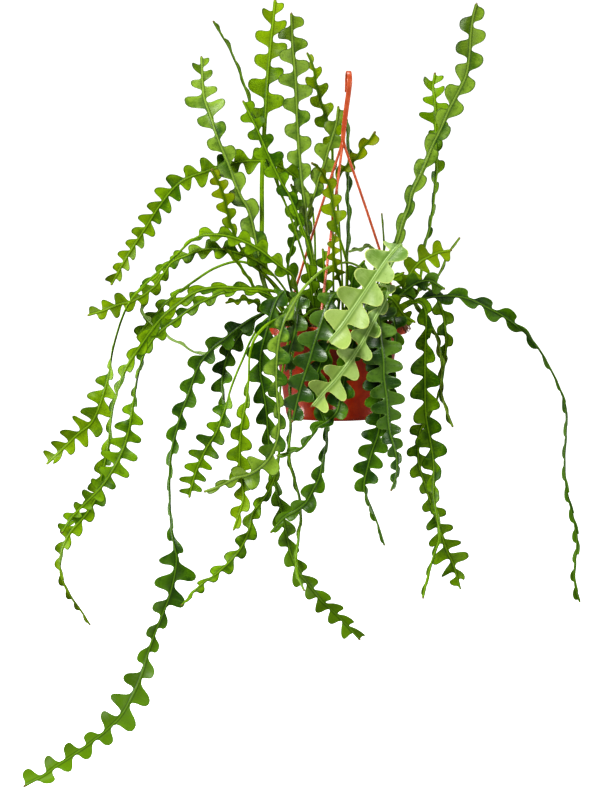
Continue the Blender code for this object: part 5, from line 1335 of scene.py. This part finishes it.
def soft_box(t):
    """The strap's section at a share of its length: a box with rounded corners."""
    width = STRAP_WIDTH * (NECK_WIDTH + (1 - NECK_WIDTH) * min(1.0, 8 * t))
    flat_u, flat_v = width / 2 - STRAP_CORNER, STRAP_THICKNESS / 2 - STRAP_CORNER
    ring = []
    for sign_u, sign_v, turn in ((1, 1, 0), (-1, 1, 90), (-1, -1, 180), (1, -1, 270)):
        for k in range(4):
            angle = math.radians(turn + 30 * k)
            ring.append((sign_u * flat_u + STRAP_CORNER * math.cos(angle),
                         sign_v * flat_v + STRAP_CORNER * math.sin(angle)))
    return ring


def round_section(radius):
    """A circle as a ring of points."""
    angles = [math.tau * k / ROUND_SIDES for k in range(ROUND_SIDES)]
    return [(radius * math.cos(angle), radius * math.sin(angle)) for angle in angles]


strap_across = Vector((math.cos(HOOK_TURN), math.sin(HOOK_TURN), 0))
points, faces = [], []
sweep(points, faces, strap_line(), lambda along: strap_across, soft_box)
for foot in clips:
    sweep(points, faces, strand_line(foot), lambda along: along.cross(Vector((0.3, 0.9, 0.1))),
          lambda t: round_section(STRAND_RADIUS * (1 + 0.5 * max(0.0, 1 - 25 * t))))
    clip_line = [foot + Vector((0, 0, CLIP_TOP - CLIP_THICKNESS * k / CLIP_STEPS))
                 for k in range(CLIP_STEPS + 1)]
    sweep(points, faces, clip_line, lambda along: Vector((1, 0, 0)),
          lambda t: round_section(CLIP_RADIUS * (0.82 + 0.18 * math.sin(math.pi * t))))
hanger = finish_mesh("hanger_fine", points, faces, HANGER_PLASTIC)
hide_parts("hanger")
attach(hanger, "root")
print("hanger faces", len(hanger.data.polygons))

# %% [markdown]
# The soil is dark peat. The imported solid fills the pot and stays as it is, with a rough peat
# finish. What shows is its top, so a crumbly crust and small flat flakes of bark lie on it. The
# crust is a fine disc, a low dome that noise pushes up and down in clods and crumbs. The noise
# fades towards the pot's wall.

# %% Peat crust
CRUST_RADIUS = WALL_TOP_RADIUS - WALL - 0.8 * MM
RINGS, SPOKES = 40, 120
CRUMB_SCALE, CRUMB_HEIGHT = 220, 1.8
CLOD_SCALE, CLOD_HEIGHT = 60, 2.2


def peat_height(share, crown, fall_to_wall):
    """How high something lies on the domed peat at a share of its radius, from millimetres."""
    return (crown - fall_to_wall * share ** 2) * MM


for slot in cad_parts["soil"].material_slots:
    slot.material = PEAT
chance = random.Random(7)
points = [Vector((0, 0, 0))]
for ring in range(1, RINGS + 1):
    for spoke in range(SPOKES):
        angle = math.tau * spoke / SPOKES
        points.append(Vector((math.cos(angle), math.sin(angle), 0)) * CRUST_RADIUS * ring / RINGS)
faces = [(0, 1 + k, 1 + (k + 1) % SPOKES) for k in range(SPOKES)]
for ring in range(RINGS - 1):
    for k in range(SPOKES):
        a, b = 1 + ring * SPOKES + k, 1 + ring * SPOKES + (k + 1) % SPOKES
        faces.append((a, a + SPOKES, b + SPOKES, b))
for p in points:
    share = p.length / CRUST_RADIUS
    crumbs = noise.fractal(p * CRUMB_SCALE, 0.8, 2.0, 4) * CRUMB_HEIGHT
    rough = crumbs + noise.noise(p * CLOD_SCALE) * CLOD_HEIGHT
    p.z = peat_height(share, 0.9, 3.4) + rough * MM * (1 - 0.6 * share ** 8)
crust = finish_mesh("peat_crust", [p + RIM_CENTRE for p in points], faces, PEAT)
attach(crust, "root")
print("crust points", len(points))

# %% Bark on the peat
CHIPS = 260
CHIP_CORNERS = 7
points, faces = [], []
for number in range(CHIPS):
    angle = chance.uniform(0, math.tau)
    reach = CRUST_RADIUS * math.sqrt(chance.uniform(0.02, 0.97))
    centre = Vector((math.cos(angle) * reach, math.sin(angle) * reach, 0))
    centre.z = peat_height(reach / CRUST_RADIUS, 1.6, 3.4)
    length = chance.uniform(1.5, 5.0)
    width = chance.uniform(0.8, 2.2)
    thickness = chance.uniform(0.3, 0.8)
    spin = Matrix.Rotation(chance.uniform(0, math.tau), 3, "Z")
    spin = spin @ Matrix.Rotation(chance.uniform(-0.5, 0.5), 3, "X")
    spin = spin @ Matrix.Rotation(chance.uniform(-0.4, 0.4), 3, "Y")
    rings = ([], [])
    for layer, ring in zip((-1, 1), rings):
        for k in range(CHIP_CORNERS):
            turn = math.tau * k / CHIP_CORNERS
            radius = chance.uniform(0.7, 1.0)
            local = Vector((length * radius * math.cos(turn), width * radius * math.sin(turn),
                            layer * thickness))
            ring.append(centre + spin @ local * MM + RIM_CENTRE)
    add_tube(points, faces, rings)
chips = finish_mesh("bark_pieces", points, faces, BARK)
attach(chips, "root")
print("bark faces", len(faces))

# %% [markdown]
# Old roots and coarse fibres lie on the peat, and a tuft of them has washed over the rim at the
# right. Each fibre is a thin four-sided thread along a bent line; its bend and its length come from
# the seeded draw, and one that nears the wall turns back. A thread of the tuft runs through some of
# the stops below, each a radius and a height in millimetres.

# %% Fibres
FIBRES, FIBRE_POINTS = 150, 6
THREAD_TAPER = 0.6
TUFT_THREADS = 90
TUFT_ANGLE = math.radians(-24)
TUFT_LIFT = 5.6


def thread(points, faces, line, radius):
    """Add one tapering thread to a mesh in the making."""
    rings = []
    for i, place in enumerate(line):
        along = direction(line, i)
        across = along.cross(Vector((0.2, 0.3, 1.0))).normalized()
        through = along.cross(across)
        thick = radius * (1 - THREAD_TAPER * i / (len(line) - 1))
        rings.append([place + (across * u + through * v) * thick
                      for u, v in ((1, 0), (0, 1), (-1, 0), (0, -1))])
    add_tube(points, faces, rings)


points, faces = [], []
for number in range(FIBRES):
    angle = chance.uniform(0, math.tau)
    reach = CRUST_RADIUS * math.sqrt(chance.uniform(0.05, 0.8))
    place = Vector((math.cos(angle) * reach, math.sin(angle) * reach, 0))
    heading = chance.uniform(0, math.tau)
    curve = chance.uniform(-0.7, 0.7)
    step = chance.uniform(1.6, 3.6) * MM
    line = []
    for k in range(FIBRE_POINTS):
        share = min(1.0, place.length / CRUST_RADIUS)
        arch = 1.6 * MM * math.sin(math.pi * k / (FIBRE_POINTS - 1))
        place.z = peat_height(share, 1.9, 3.6) + arch
        line.append(place + RIM_CENTRE)
        place = place + Vector((math.cos(heading), math.sin(heading), 0)) * step
        heading += curve
        if place.length > 0.97 * CRUST_RADIUS:
            heading += 1.5
            place *= 0.95
    thread(points, faces, line, chance.uniform(0.25, 0.5) * MM)
for number in range(TUFT_THREADS):
    angle = TUFT_ANGLE + chance.uniform(-0.16, 0.16)
    outward = Vector((math.cos(angle), math.sin(angle), 0))
    aside = Vector((-math.sin(angle), math.cos(angle), 0)) * chance.uniform(-1.0, 1.0)
    lift = chance.uniform(TUFT_LIFT, 11) * MM
    drop = chance.uniform(0.0, 1.0)
    reach = chance.uniform(0, 5) * MM
    stops = [(56, -1.5), (61, 4.0), (66, 6.2), (71, 7.0), (75, 5 - 3 * drop), (77, 2 - 6 * drop)]
    line = []
    for k, (radius, height) in enumerate(stops[:chance.randint(4, 6)]):
        arch = (lift - TUFT_LIFT * MM) * math.sin(math.pi * k / 5)
        line.append(outward * (radius * MM + reach * k / 5) + aside * k * 1.6 * MM
                    + Vector((0, 0, height * MM + arch)) + RIM_CENTRE)
    thread(points, faces, line, chance.uniform(0.45, 0.95) * MM)
fibres = finish_mesh("root_fibres", points, faces, FIBRE)
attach(fibres, "root")
print("fibre faces", len(faces))
